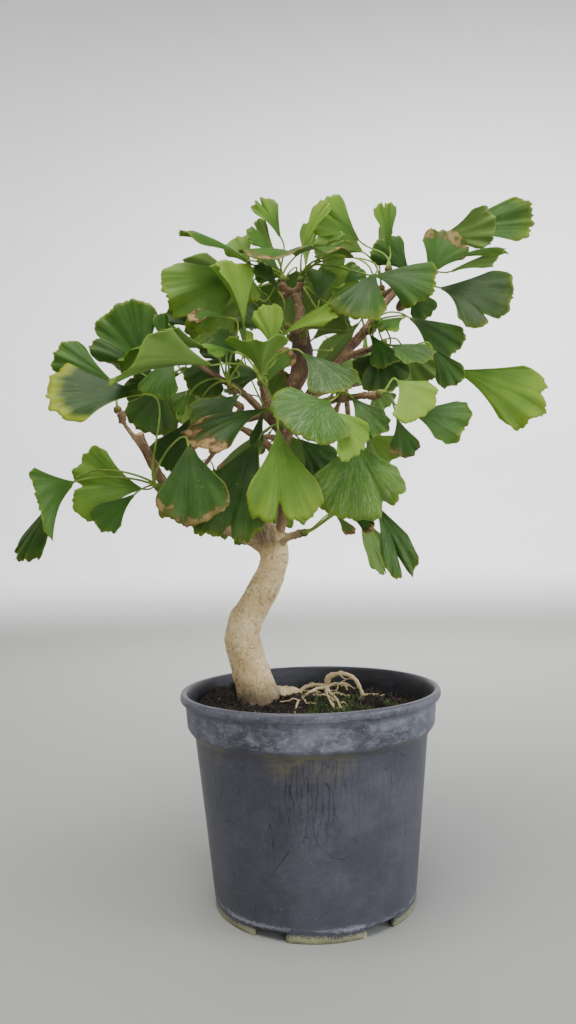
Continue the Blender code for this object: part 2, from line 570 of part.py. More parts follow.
def blade_points(u, v, leaf, frame):
    """Points of the blade, u across (-1 to 1) and v along (0 to 1), in millimetres."""
    along, across, face, length = frame
    turn = np.random.RandomState(leaf["seed"] + 500).rand(3) * 2 * math.pi
    angle = u * math.radians(leaf["spread"]) * (1 - leaf["flare"] + leaf["flare"] * v)
    reach = v * length * blade_edge(u, leaf)
    eased = np.clip(np.abs(u) / 0.45, 0, 1)
    tilt = math.radians(leaf["fold"]) * eased * eased * (3 - 2 * eased)
    side = np.sin(angle) * reach + u * STALK_RADIUS * (1 - v)
    wave = 0.6 * np.sin(5.2 * u + turn[0]) + 0.4 * np.sin(9.5 * u + turn[1])
    wave = wave - 0.6 * math.sin(turn[0]) - 0.4 * math.sin(turn[1])
    rise = np.abs(side) * np.sin(tilt) + 4 * leaf["bow"] * length * v * (1 - v)
    rise = rise + leaf["ripple"] * length * v ** 2 * wave
    return (leaf["joint"] + np.outer(np.cos(angle) * reach, along)
            + np.outer(side * np.cos(tilt), across) + np.outer(rise, face))


def blade_normals(u, v, leaf, frame):
    """Directions off the upper face at the same points."""
    v = np.maximum(v, 0.15)
    right = blade_points(np.minimum(u + 0.02, 1), v, leaf, frame)
    left = blade_points(np.maximum(u - 0.02, -1), v, leaf, frame)
    nearer = blade_points(u, v - 0.05, leaf, frame)
    normals = np.cross(right - left, blade_points(u, v, leaf, frame) - nearer)
    normals = normals * np.sign(normals @ frame[2])[:, None]
    return normals / np.linalg.norm(normals, axis=1)[:, None]


def zip_rows(row_a, row_b):
    """Triangles between two rows of (index, u) that run the same way."""
    faces = []
    i = j = 0
    while i < len(row_a) - 1 or j < len(row_b) - 1:
        step_a = i < len(row_a) - 1 and (
            j == len(row_b) - 1 or row_a[i + 1][1] + row_a[i][1] < row_b[j + 1][1] + row_b[j][1])
        if step_a:
            faces.append((row_a[i][0], row_a[i + 1][0], row_b[j][0]))
            i += 1
        else:
            faces.append((row_a[i][0], row_b[j + 1][0], row_b[j][0]))
            j += 1
    return faces


def stalk_curve(leaf, frame, bud, way):
    """Points of the stalk, from inside the bud to a short straight neck before the blade."""
    along = frame[0]
    side = unit(np.cross(way, (0.31, 0.53, 0.79)))
    turn = 2.4 * leaf["seed"]
    depth = 0.3 + 0.05 * (leaf["seed"] % 7)
    root = bud + way * BUD_LENGTH * depth
    root = root + 0.9 * (math.cos(turn) * side + math.sin(turn) * np.cross(way, side))
    reach = np.linalg.norm(leaf["joint"] - root)
    neck = leaf["joint"] - along * min(NECK_LENGTH, reach * 0.25)
    start = root + way * reach * 0.35
    end = neck - along * reach * 0.3
    curve = []
    for s in range(STALK_SEGMENTS + 1):
        t = s / STALK_SEGMENTS
        curve.append((1 - t) ** 3 * root + 3 * (1 - t) ** 2 * t * start
                     + 3 * (1 - t) * t ** 2 * end + t ** 3 * neck)
    return curve


def leaf_shape(leaf, sprays, extra=0.0):
    """Points and faces of one closed leaf, stalk and blade, thicker by extra on each side."""
    frame = leaf_frame(leaf)
    along, across, _, length = frame
    bud, way = sprays[leaf["spray"]]
    half = BLADE_THICKNESS / 2 + extra
    points = []
    faces = []
    stalk = stalk_curve(leaf, frame, bud, way)
    size = STALK_RADIUS + extra
    steps = [unit(b - a) for a, b in zip(stalk, stalk[1:] + [leaf["joint"]])]
    before, right = Vector(along), Vector(across)
    for k in reversed(range(len(stalk))):
        centre = stalk[k]
        ahead = Vector(unit(steps[k] + steps[max(k - 1, 0)]))
        right.rotate(before.rotation_difference(ahead))
        up = np.array(ahead.cross(right))
        before = ahead
        points = [centre + size * (a * np.array(right) + b * up) for a, b in STALK_CORNERS] + points
    for k in range(1, len(stalk)):
        for m in range(3):
            n = (m + 1) % 3
            faces.append((3 * k - 3 + m, 3 * k - 3 + n, 3 * k + n, 3 * k + m))
    faces.append((0, 1, 2))
    large = length > LARGE_LEAF
    steps = 5 if large else 3 + (length > SMALL_LEAF)
    edge_row = np.hstack([np.linspace(-1, leaf["at"] - 0.1, steps), leaf["at"],
                          np.linspace(leaf["at"] + 0.1, 1, steps)])
    rows = [(0.0, [-1.0, 1.0]), (1.0, edge_row)]
    if length > SMALL_LEAF:
        rows.insert(1, (0.55, np.linspace(-1, 1, 5 if large else 3)))
    u = np.hstack([row for _, row in rows])
    v = np.hstack([np.full(len(row), height) for height, row in rows])
    middle = blade_points(u, v, leaf, frame)
    lift = blade_normals(u, v, leaf, frame) * half
    top, bottom = [], []
    count = 0
    for _, row in rows:
        upper, lower = [], []
        for u_value in row:
            upper.append((len(points), u_value))
            points.append(middle[count] + lift[count])
            lower.append((len(points), u_value))
            points.append(middle[count] - lift[count])
            count += 1
        top.append(upper)
        bottom.append(lower)
    last = 3 * (len(stalk) - 1)
    (top_left, _), (top_right, _) = top[0]
    (low_left, _), (low_right, _) = bottom[0]
    faces.append((last, last + 1, top_left, top_right))
    faces.append((last + 1, last + 2, low_left, top_left))
    faces.append((last + 2, last, top_right, low_right))
    faces.append((last + 2, low_right, low_left))
    for a, b in zip(top, top[1:]):
        faces.extend(zip_rows(a, b))
    for a, b in zip(bottom, bottom[1:]):
        faces.extend(tuple(reversed(f)) for f in zip_rows(a, b))
    for end in (0, -1):
        for k in range(len(rows) - 1):
            faces.append((top[k][end][0], top[k + 1][end][0],
                          bottom[k + 1][end][0], bottom[k][end][0]))
    for k in range(len(edge_row) - 1):
        faces.append((top[-1][k][0], top[-1][k + 1][0], bottom[-1][k + 1][0], bottom[-1][k][0]))
    return points, faces


def without_root(points, faces):
    """A leaf's shape without its first stretch of stalk, which meets the other stalks."""
    return points, [f for f in faces if min(f) >= 3]


def search_tree(points, faces):
    return BVHTree.FromPolygons([Vector(p) for p in points], faces, epsilon=0.0)


def object_tree(item):
    points = [np.array(v.co) / MM - FRAME_SHIFT for v in item.data.vertices]
    return search_tree(points, [tuple(p.vertices) for p in item.data.polygons])


def free_place(leaf, sprays, wood, buds, taken):
    """The search trees of a leaf that is clear of everything else, or None."""
    bare = leaf_shape(leaf, sprays)
    thick = leaf_shape(leaf, sprays, CLEARANCE)
    whole, outer = search_tree(*bare), search_tree(*without_root(*bare))
    thick_whole, thick_outer = search_tree(*thick), search_tree(*without_root(*thick))
    if wood.overlap(whole) or wood.overlap(thick_outer):
        return None
    for name, bud in buds.items():
        if name != leaf["spray"] and bud.overlap(thick_whole):
            return None
    for name, other_whole, other_outer in taken:
        if name == leaf["spray"] and other_outer.overlap(thick_outer):
            return None
        if name != leaf["spray"] and other_whole.overlap(thick_whole):
            return None
    return leaf["spray"], whole, outer


def bend_clear(leaves, sprays, wood, buds):
    """Each leaf in turn is moved a little until it is clear of the wood and of the others."""
    moves = [np.zeros(3)]
    for size in (3, 6, 9, 13, 17, 22):
        for way in ((0, -1, 0), (0, 1, 0), (0, -0.7, 0.5), (0, 0.7, -0.5), (0.6, 0, -0.6),
                    (-0.6, 0, 0.6), (0, 0, -1), (0, 0, 1)):
            moves.append(size * np.array(way, float))
    taken = []
    kept = []
    for leaf in leaves:
        for move in moves:
            tried = dict(leaf, joint=leaf["joint"] + move, tip=leaf["tip"] + move * 1.2)
            place = free_place(tried, sprays, wood, buds, taken)
            if place:
                taken.append(place)
                kept.append(tried)
                break
        else:
            print("left out", leaf["spray"], leaf["seed"])
    return kept


def make_buds(leaves, sprays):
    """One bud for each spray that carries leaves: a short swollen tube off the end of its spur."""
    finish = leaf_green()
    buds = {}
    for name in dict.fromkeys(leaf["spray"] for leaf in leaves):
        bud, way = sprays[name]
        line = []
        for share, radius in ((0, 2.4), (0.4, 2.9), (0.8, 2.2), (1, 1.2)):
            line.append((*(bud + way * (GAP + share * BUD_LENGTH)), radius))
        buds[name] = tube("spray_" + name, line, BUD_SIDES, 1, finish)
    return buds


def join_leaves(leaves, sprays, buds):
    for name, bud in buds.items():
        own = [leaf for leaf in leaves if leaf["spray"] == name]
        boolean(bud, [mesh_object("leaf", *leaf_shape(leaf, sprays)) for leaf in own], "UNION")


def main():
    clear_scene()
    sprays = all_sprays()
    make_pot()
    make_soil(make_wood(sprays, GAP))
    wood = make_wood(sprays)
    leaves = leaf_list(sprays)
    buds = make_buds(leaves, sprays)
    bud_trees = {name: object_tree(bud) for name, bud in buds.items()}
    leaves = bend_clear(leaves, sprays, object_tree(wood), bud_trees)
    join_leaves(leaves, sprays, buds)


main()
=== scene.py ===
# A ginkgo bonsai in a plastic nursery pot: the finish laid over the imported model.
# Sizes and places are in millimetres from the ground under the middle of the pot, with +Z up and
# the front of the tree along -Y. place() turns them into the metres of the frame.
import math

import bmesh
import bpy
import numpy as np
from mathutils import Matrix, Vector, kdtree, noise


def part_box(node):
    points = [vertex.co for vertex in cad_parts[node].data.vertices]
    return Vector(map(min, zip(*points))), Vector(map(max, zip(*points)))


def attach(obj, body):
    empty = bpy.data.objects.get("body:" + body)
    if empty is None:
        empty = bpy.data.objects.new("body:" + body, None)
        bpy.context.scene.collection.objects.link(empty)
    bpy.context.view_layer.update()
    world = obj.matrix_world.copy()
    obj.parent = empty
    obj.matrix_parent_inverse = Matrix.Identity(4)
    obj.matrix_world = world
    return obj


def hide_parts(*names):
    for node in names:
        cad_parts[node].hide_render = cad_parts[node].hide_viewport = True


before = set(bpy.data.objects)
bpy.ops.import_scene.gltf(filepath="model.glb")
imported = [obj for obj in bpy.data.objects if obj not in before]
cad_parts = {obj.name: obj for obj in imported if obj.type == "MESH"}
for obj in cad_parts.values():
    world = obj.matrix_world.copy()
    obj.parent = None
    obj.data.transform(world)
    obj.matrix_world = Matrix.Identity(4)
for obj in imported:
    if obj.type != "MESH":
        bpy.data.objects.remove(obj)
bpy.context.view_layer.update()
mm = 0.001
potLow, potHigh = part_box("pot")
potMiddle = np.array(((potLow.x + potHigh.x) / 2, (potLow.y + potHigh.y) / 2, 0.0))
print("frame loaded:", len(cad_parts), "solids")


def place(points):
    return np.asarray(points, float) * mm + potMiddle


def unit(vector):
    return np.asarray(vector, float) / np.linalg.norm(vector)


def noiseAt(x, y, z):
    return noise.noise(Vector((x, y, z)))


def circle(radius, height, sides):
    # points of a level ring round the pot's axis
    turns = [2 * math.pi * k / sides for k in range(sides)]
    return [(radius * math.cos(a), radius * math.sin(a), height) for a in turns]


def ringFaces(lower, upper):
    # four-sided faces between two rings of corners
    sides = len(lower)
    following = [(k + 1) % sides for k in range(sides)]
    return [(lower[k], lower[n], upper[n], upper[k]) for k, n in enumerate(following)]


def localPoints(mesh):
    # a mesh's corners in millimetres from the middle of the pot's base
    return (np.array([corner.co for corner in mesh.vertices]) - potMiddle) / mm


def meshPiece(name, points, faces, finish=None):
    mesh = bpy.data.meshes.new(name)
    mesh.from_pydata(place(points).tolist(), [], faces)
    mesh.polygons.foreach_set("use_smooth", [True] * len(mesh.polygons))
    if finish:
        mesh.materials.append(finish)
    piece = bpy.data.objects.new(name, mesh)
    bpy.context.scene.collection.objects.link(piece)
    return piece


def plainMesh(piece, finish):
    # what the modifiers show becomes the mesh, and the modifiers go
    bpy.context.view_layer.update()
    seen = piece.evaluated_get(bpy.context.evaluated_depsgraph_get())
    mesh = bpy.data.meshes.new_from_object(seen)
    piece.modifiers.clear()
    piece.data = mesh
    mesh.name = piece.name
    mesh.materials.clear()
    mesh.materials.append(finish)
    mesh.polygons.foreach_set("material_index", [0] * len(mesh.polygons))
    mesh.polygons.foreach_set("use_smooth", [True] * len(mesh.polygons))


def outward(mesh):
    work = bmesh.new()
    work.from_mesh(mesh)
    bmesh.ops.recalc_face_normals(work, faces=work.faces)
    work.to_mesh(mesh)
    work.free()


def pointValues(piece, name, values, kind="FLOAT"):
    layer = piece.data.attributes.new(name, kind, "POINT")
    field = "vector" if kind == "FLOAT_VECTOR" else "value"
    layer.data.foreach_set(field, np.asarray(values, np.float32).ravel())


def standsFor(piece, slot, *nodes):
    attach(piece, "root")
    if nodes:
        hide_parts(*nodes)


def smoothPath(points, steps):
    # a Catmull-Rom curve through points, which may carry a radius as a fourth number
    p = np.asarray(points, float)
    padded = np.vstack([2 * p[0] - p[1], p, 2 * p[-1] - p[-2]])
    path = []
    for i in range(len(p) - 1):
        a, b, c, d = padded[i:i + 4]
        for s in range(steps):
            t = s / steps
            path.append(0.5 * (2 * b + (c - a) * t + (2 * a - 5 * b + 4 * c - d) * t ** 2
                               + (3 * b - a - 3 * c + d) * t ** 3))
    path.append(p[-1])
    return np.array(path)


# a direction that no line of the tree follows, to measure turns from
sideways = (0.31, 0.53, 0.79)


def pathFrames(centre):
    # two directions across the line at each point, carried along without a twist
    tangent = np.gradient(centre, axis=0)
    tangent = tangent / np.linalg.norm(tangent, axis=1)[:, None]
    right = np.cross(tangent[0], sideways)
    rights = []
    for t in tangent:
        right = unit(right - t * np.dot(right, t))
        rights.append(right)
    rights = np.array(rights)
    return rights, np.cross(tangent, rights)


def tubes(lines):
    # points and faces of closed tubes, each given as centre line, radii and number of sides
    points, faces, start = [], [], 0
    for centre, radius, sides in lines:
        right, other = pathFrames(centre)
        around = np.linspace(0, 2 * math.pi, sides, endpoint=False)
        rings = (centre[:, None] + radius[:, None, None]
                 * (np.cos(around)[None, :, None] * right[:, None]
                    + np.sin(around)[None, :, None] * other[:, None]))
        points.append(rings.reshape(-1, 3))
        end = start + len(centre) * sides
        corners = [range(a, a + sides) for a in range(start, end, sides)]
        for lower, upper in zip(corners, corners[1:]):
            faces += ringFaces(lower, upper)
        faces += [tuple(reversed(corners[0])), tuple(corners[-1])]
        start = end
    return np.vstack(points), faces


class Signal:
    # one output of a node; arithmetic on it adds Math nodes
    def __init__(self, graph, socket):
        self.graph = graph
        self.socket = socket

    def math(self, operation, first, second=0.0):
        return self.graph.node("ShaderNodeMath", {"operation": operation},
                               {0: first, 1: second})

    def sine(self):
        return self.math("SINE", self)

    def size(self):
        return self.math("ABSOLUTE", self)

    def most(self, other):
        return self.math("MAXIMUM", self, other)

    def least(self, other):
        return self.math("MINIMUM", self, other)

    def rise(self, low, high):
        # 0 below low, 1 above high, and a soft step between
        return self.graph.node("ShaderNodeMapRange", {"interpolation_type": "SMOOTHSTEP"},
                               {"Value": self, "From Min": low, "From Max": high})

    def part(self, name):
        # another output of the same node
        return Signal(self.graph, self.socket.node.outputs[name])


def arithmetic(operation, swapped):
    # an operator of Signal that adds one Math node
    def method(self, other):
        first, second = (other, self) if swapped else (self, other)
        return self.math(operation, first, second)
    return method


for sign, operation in {"add": "ADD", "sub": "SUBTRACT", "mul": "MULTIPLY", "pow": "POWER"}.items():
    setattr(Signal, f"__{sign}__", arithmetic(operation, swapped=False))
    setattr(Signal, f"__r{sign}__", arithmetic(operation, swapped=True))


class Graph:
    # a node tree under construction
    def __init__(self, tree):
        self.tree = tree
        tree.nodes.clear()

    def node(self, kind, settings=None, sockets=None, output=0):
        made = self.tree.nodes.new(kind)
        for name, value in (settings or {}).items():
            if name == "stops":
                ramp = made.color_ramp
                while len(ramp.elements) < len(value):
                    ramp.elements.new(0.5)
                for stop, (position, colour) in zip(ramp.elements, value):
                    stop.position = position
                    stop.color = (*colour, 1.0)
            else:
                setattr(made, name, value)
        for name, value in (sockets or {}).items():
            if isinstance(value, Signal):
                self.tree.links.new(value.socket, made.inputs[name])
            else:
                made.inputs[name].default_value = value
        return Signal(self, made.outputs[output]) if made.outputs else None


class Finish(Graph):
    # a material: helpers for the nodes that every finish uses
    def __init__(self, name):
        self.material = bpy.data.materials.new(name)
        self.material.use_nodes = True
        super().__init__(self.material.node_tree)

    def objectPlace(self):
        return self.node("ShaderNodeTexCoord", output="Object")

    def axis(self, vector, name):
        return self.node("ShaderNodeSeparateXYZ", None, {0: vector}, output=name)

    def stretched(self, where, scale, location=(0, 0, 0)):
        return self.node("ShaderNodeMapping", None,
                         {"Vector": where, "Scale": scale, "Location": location})

    def cloud(self, where, scale, detail=3.0, roughness=0.55, distortion=0.0):
        return self.node("ShaderNodeTexNoise", None,
                         {"Vector": where, "Scale": scale, "Detail": detail,
                          "Roughness": roughness, "Distortion": distortion})

    def value(self, name):
        return self.node("ShaderNodeAttribute", {"attribute_name": name}, output="Fac")

    def ramp(self, value, stops):
        return self.node("ShaderNodeValToRGB", {"stops": stops}, {"Fac": value})

    def mix(self, factor, first, second, kind="MIX"):
        first, second = [(*c, 1.0) if isinstance(c, tuple) else c for c in (first, second)]
        return self.node("ShaderNodeMix", {"data_type": "RGBA", "blend_type": kind},
                         {0: factor, 6: first, 7: second}, output=2)

    def bump(self, height, distance, strength):
        return self.node("ShaderNodeBump", None,
                         {"Height": height, "Distance": distance, "Strength": strength})

    def surface(self, shader):
        self.node("ShaderNodeOutputMaterial", None, {"Surface": shader})
        return self.material

    def plain(self, sockets):
        return self.node("ShaderNodeBsdfPrincipled", None, sockets)


potLook = {
    "sides": 144,
    "notches": 6, "firstNotch": -116.0, "notchWidth": 18.0, "notchHeight": 5.6,
    "drainCircle": 46.0, "drainRadius": 5.0,
    "plastic": (0.038, 0.038, 0.051), "worn": (0.108, 0.108, 0.142), "chalk": (0.30, 0.31, 0.37),
    "scratch": (0.012, 0.013, 0.018), "stain": (0.120, 0.105, 0.050),
    "algae": (0.38, 0.37, 0.22), "moss": (0.070, 0.078, 0.026),
    "shade": (0.010, 0.011, 0.014),
}

# the wall's section as (radius, height): up the outside from the foot, over the lip, down inside
potOutside = [(64.8, 0), (65.3, 0.3), (65.5, 6.6), (66.3, 14), (70.5, 55), (75.6, 103), (76.0, 106),
              (76.4, 106.9), (77.6, 108.3), (79.6, 110.8), (80.4, 112.1), (80.75, 113.2),
              (81.5, 123), (81.8, 127.6), (82.1, 128.2), (83.6, 128.5), (84.5, 128.9),
              (84.95, 129.8), (85.0, 131.2), (84.8, 132.7), (84.2, 133.7), (83.4, 134.0)]
potInside = [(82.2, 134.0), (81.5, 133.6), (80.9, 132.6), (80.2, 130.6), (79.6, 123), (79.0, 113.4),
             (78.6, 112.2), (76.2, 108.8), (74.4, 105.2), (63.8, 8.8), (63.0, 8.4)]
potUnder = [(0, 6.6), (62.9, 6.6), (63.0, 6.4), (63.0, 0.2), (63.2, 0)]
potFloor = [(0, 8.4)]

# heights, and the radius within which a point of the pot lies inside the wall
insideWall = [(8.4, 63.9), (106, 74.6), (113, 79.1), (131, 80.7), (134, 82.4)]


def potFinish():
    made = Finish("weatheredPlastic")
    look = potLook
    where = made.objectPlace()
    height = made.axis(where, "Z") * 1000.0
    broad = made.cloud(where, 26.0, 4.0, 0.6)
    streaks = made.cloud(made.stretched(where, (1.0, 1.0, 0.16)), 140.0, 4.0, 0.6)
    fine = made.cloud(where, 900.0, 2.0, 0.6)
    rubbed = made.cloud(made.stretched(where, (1.0, 1.0, 2.6), (0.3, 0.1, 0.2)),
                        42.0, 6.0, 0.72, 0.5)
    rim = height.rise(127.0, 131.5)
    x = made.axis(where, "X") * 1000.0 - potMiddle[0] / mm
    y = made.axis(where, "Y") * 1000.0 - potMiddle[1] / mm
    aside = (x + 3.0 + (broad - 0.5) * 30.0).size().rise(16.0, 30.0)
    front = (1 - aside) * (1 - y.rise(-60.0, -50.0))
    band = height.rise(109.0, 113.0) * (1 - rim)
    body = 1 - height.rise(106.0, 109.0)
    worn = (broad.rise(0.45, 0.70) * 0.55 + streaks.rise(0.5, 0.75) * 0.25) * (0.5 + band * 1.5)
    colour = made.mix(worn.least(0.9), look["plastic"], look["worn"])
    scraped = made.cloud(made.stretched(where, (1.0, 1.0, 1.7), (0.6, 0.2, 0.9)),
                         95.0, 6.0, 0.8, 1.2)
    mottle = rubbed.rise(0.44, 0.62) * 0.45 + scraped.rise(0.46, 0.62) * 0.55
    scuffs = mottle * (0.05 * body + 0.50 * band + 0.26 * rim)
    grit = fine.rise(0.60, 0.76) * (0.10 + 0.26 * band + 0.35 * rim)
    scuffs = scuffs + grit + fine.rise(0.72, 0.78) * 0.5
    colour = made.mix(scuffs.least(0.8), colour, look["chalk"])
    # long thin scratches that run down the wall, and a few that cross it
    down = made.cloud(made.stretched(where, (1.0, 1.0, 0.055)), 105.0, 2.0, 0.5, 0.25)
    slant = made.cloud(made.stretched(where, (1.0, 1.0, 0.30), (0.7, 0.2, 0.4)), 30.0, 0.0, 0.4)
    thin = made.cloud(made.stretched(where, (1.0, 1.0, 0.045), (0.2, 0.6, 0.1)),
                      330.0, 2.0, 0.5, 0.1)
    lines = 1 - (down - 0.5).size().rise(0.001, 0.011)
    lines = lines * streaks.rise(0.46, 0.56) * height.rise(20.0, 60.0)
    dense = (1 - (thin - 0.5).size().rise(0.006, 0.042)) * height.rise(40.0, 92.0)
    lines = lines.most(dense * (broad.rise(0.48, 0.58) * 0.35).most(front))
    cross = (1 - (slant - 0.47).size().rise(0.0003, 0.0030)) * rubbed.rise(0.44, 0.50)
    marks = (lines * 0.75).most(cross * 0.8) * body
    colour = made.mix(marks, colour, look["scratch"])
    underBand = height.rise(90.0, 105.0) * (1 - height.rise(106.5, 109.5))
    stains = underBand * rubbed.rise(0.36, 0.62) * (broad.rise(0.52, 0.62) * 0.6).most(front)
    crease = height.rise(106.2, 107.6) * (1 - height.rise(109.0, 110.8)) * broad.rise(0.40, 0.62)
    colour = made.mix((stains * 0.6).most(crease * 0.6), colour, look["stain"])
    seam = height.rise(124.5, 126.5) * (1 - height.rise(127.2, 128.6)) * mottle
    colour = made.mix(seam * 0.6, colour, look["scratch"])
    colour = made.mix(height.rise(132.4, 133.4) * 0.6, colour, look["plastic"])
    foot = height + (fine - 0.5) * 6.0 + (rubbed - 0.5) * 6.0
    colour = made.mix((1 - foot.rise(1.5, 5.0)) * 0.85, colour, look["algae"])
    green = (1 - foot.rise(0.0, 3.4)) * rubbed.rise(0.36, 0.56)
    colour = made.mix(green * 0.8, colour, look["moss"])
    ledge = foot.rise(6.0, 7.2) * (1 - foot.rise(7.6, 9.5)) * rubbed.rise(0.4, 0.6)
    colour = made.mix(ledge * 0.55, colour, look["chalk"])
    # painted shade: the inner wall above the soil is darkened as if in shadow
    colour = made.mix(made.value("inside") * 0.85, colour, look["shade"])
    relief = streaks * 0.25 + fine * 0.2 + scuffs * 0.8 - marks * 0.8
    return made.surface(made.plain({
        "Base Color": colour, "Roughness": 0.42 + worn * 0.2 + scuffs * 0.3,
        "Specular IOR Level": 0.35, "Normal": made.bump(relief, 0.0003, 0.45)}))


def turnedShell(name, section, sides, finish):
    # a closed section turned round the axis; a radius of 0 closes on the axis
    points, faces, rings = [], [], []
    for radius, height in section:
        if radius == 0:
            rings.append([len(points)] * sides)
            points.append((0, 0, height))
        else:
            rings.append(range(len(points), len(points) + sides))
            points += circle(radius, height, sides)
    for lower, upper in zip(rings, rings[1:]):
        for face in ringFaces(lower, upper):
            corners = tuple(dict.fromkeys(face))
            if len(corners) > 2:
                faces.append(corners)
    return meshPiece(name, points, faces, finish)


def notchBlock(turn, look):
    points = []
    inner, outer = 55, 72  # the block reaches through the foot of the wall
    for height in (-2, look["notchHeight"]):
        for radius, side in ((inner, -0.5), (outer, -0.5), (outer, 0.5), (inner, 0.5)):
            a = math.radians(turn + side * look["notchWidth"])
            points.append((radius * math.cos(a), radius * math.sin(a), height))
    faces = [(3, 2, 1, 0), (4, 5, 6, 7), (0, 1, 5, 4), (1, 2, 6, 5), (2, 3, 7, 6), (3, 0, 4, 7)]
    return meshPiece("notchBlock", points, faces)


def cutAway(piece, cutters):
    group = bpy.data.collections.new("cutters")
    for cutter in cutters:
        outward(cutter.data)
        group.objects.link(cutter)
    change = piece.modifiers.new("cut", "BOOLEAN")
    change.operand_type = "COLLECTION"
    change.collection = group
    change.operation = "DIFFERENCE"
    change.solver = "EXACT"
    plainMesh(piece, piece.data.materials[0])
    for cutter in cutters:
        bpy.data.objects.remove(cutter, do_unlink=True)
    bpy.data.collections.remove(group)


def makePot():
    look = potLook
    section = potUnder + potOutside + potInside + potFloor
    pot = turnedShell("pot_shell", section, look["sides"], potFinish())
    outward(pot.data)
    cutters = []
    for k in range(look["notches"]):
        turn = look["firstNotch"] + k * 360 / look["notches"]
        cutters.append(notchBlock(turn, look))
        a = math.radians(turn)
        x, y = look["drainCircle"] * math.cos(a), look["drainCircle"] * math.sin(a)
        drain = (np.array([(x, y, 3.0), (x, y, 12.0)]), np.array([look["drainRadius"]] * 2), 24)
        cutters.append(meshPiece("drain", *tubes([drain])))
    cutAway(pot, cutters)
    local = localPoints(pot.data)
    radius = np.linalg.norm(local[:, :2], axis=1)
    wall = np.interp(local[:, 2], *zip(*insideWall))
    inside = (radius < wall + 0.4) & (local[:, 2] > 8.0)
    # marks the inner wall above the soil, where the painted shade goes
    pointValues(pot, "inside", np.where(inside & (local[:, 2] < 133.0), 1.0, 0.0))
    standsFor(pot, "pot_plastic", "pot")
    print("pot:", len(pot.data.polygons), "faces")


makePot()


soilLook = {
    "level": 118.5, "rings": 84, "sides": 180, "topRadius": 78.1,
    # the mound round the roots and heaps of clods: middle, radius and height
    "mound": (8.0, 12.0, 34.0, 4.0),
    "heaps": [(-66, 28, 16, 4), (-54, 36, 20, 7), (14, 8, 15, 2.5), (10, 57, 14, 7),
              (-12, 5, 10, 4.5), (50, 6, 13, 4), (-38, 14, 22, 3), (-56, -12, 12, 3)],
    # radius and height down the side of the soil
    "side": [(78.1, 112.6), (75.5, 108.0), (73.9, 104.0), (63.6, 9.0)],
    "dark": (0.005, 0.004, 0.003), "brown": (0.018, 0.013, 0.008), "grey": (0.050, 0.042, 0.030),
    "crumbDensity": 120000.0, "smallestCrumb": 0.4, "largestCrumb": 2.6,
    "fibreDensity": 260000.0, "shortestFibre": 1.2, "longestFibre": 4.5,
}


# moss: the middle of each patch and its radius
mossLook = {
    "patches": [(8, 16, 17), (26, 20, 10), (16, -10, 15), (2, -22, 10), (32, -26, 9),
                (-10, 22, 9), (34, -10, 6), (-14, -30, 5), (50, 22, 8), (54, -6, 7),
                (-50, -18, 5), (20, 60, 8), (-34, 52, 8)],
    "density": 1900000.0, "shortest": 0.9, "tallest": 3.5,
}


def heap(x, y, middleX, middleY, radius, height):
    return height * np.exp(-((x - middleX) ** 2 + (y - middleY) ** 2) / radius ** 2)


def soilHeight(x, y):
    look = soilLook
    heaps = sum(heap(x, y, *row) for row in look["heaps"])
    clods = 0.9 * np.sin(x / 4.1 + 1.3 * np.sin(y / 5.3)) * np.sin(y / 4.7 + x / 9.0)
    return look["level"] + heap(x, y, *look["mound"]) + heaps + clods


def soilGrain(x, y):
    # clods and pits a few millimetres across
    big, middle = noiseAt(x / 7.5, y / 7.5, 3.1), noiseAt(x / 3.1, y / 3.1, 8.7)
    return 2.2 * big + 1.5 * middle + 0.6 * noiseAt(x / 1.4, y / 1.4, 5.2)


def soilFinish():
    made = Finish("pottingSoil")
    where = made.objectPlace()
    lumps = made.cloud(where, 420.0, 5.0, 0.7)
    patches = made.cloud(where, 70.0, 3.0)
    colour = made.ramp(lumps * 0.7 + patches * 0.3, [
        (0.3, soilLook["dark"]), (0.52, soilLook["brown"]), (0.74, soilLook["grey"])])
    return made.surface(made.plain({
        "Base Color": colour, "Roughness": 0.95 - lumps.rise(0.6, 0.8) * 0.1,
        "Normal": made.bump(lumps, 0.0009, 0.9)}))


def crumbFinish():
    made = Finish("soilCrumbs")
    where = made.objectPlace()
    tint = made.value("tint")
    colour = made.ramp(tint, [(0.0, (0.006, 0.005, 0.003)), (0.55, (0.020, 0.014, 0.009)),
                              (0.80, (0.045, 0.030, 0.018)), (0.93, (0.062, 0.030, 0.018)),
                              (0.96, (0.085, 0.070, 0.048)), (0.995, (0.24, 0.22, 0.17))])
    grain = made.cloud(where, 1300.0, 3.0, 0.6)
    colour = made.mix(grain.rise(0.35, 0.7) * 0.5, colour, (0.02, 0.015, 0.01), "MULTIPLY")
    return made.surface(made.plain({"Base Color": colour, "Roughness": 0.9,
                                    "Normal": made.bump(grain, 0.0003, 0.7)}))


def nodeGroup(name, sockets):
    # an empty geometry tree with named inputs; gives its graph, its input node and the identifiers
    tree = bpy.data.node_groups.new(name, "GeometryNodeTree")
    tree.interface.new_socket("Geometry", in_out="OUTPUT", socket_type="NodeSocketGeometry")
    tree.interface.new_socket("Geometry", in_out="INPUT", socket_type="NodeSocketGeometry")
    keys = {}
    for label, kind in sockets.items():
        made = tree.interface.new_socket(label, in_out="INPUT", socket_type="NodeSocket" + kind)
        keys[label] = made.identifier
    graph = Graph(tree)
    return graph, graph.node("NodeGroupInput"), keys


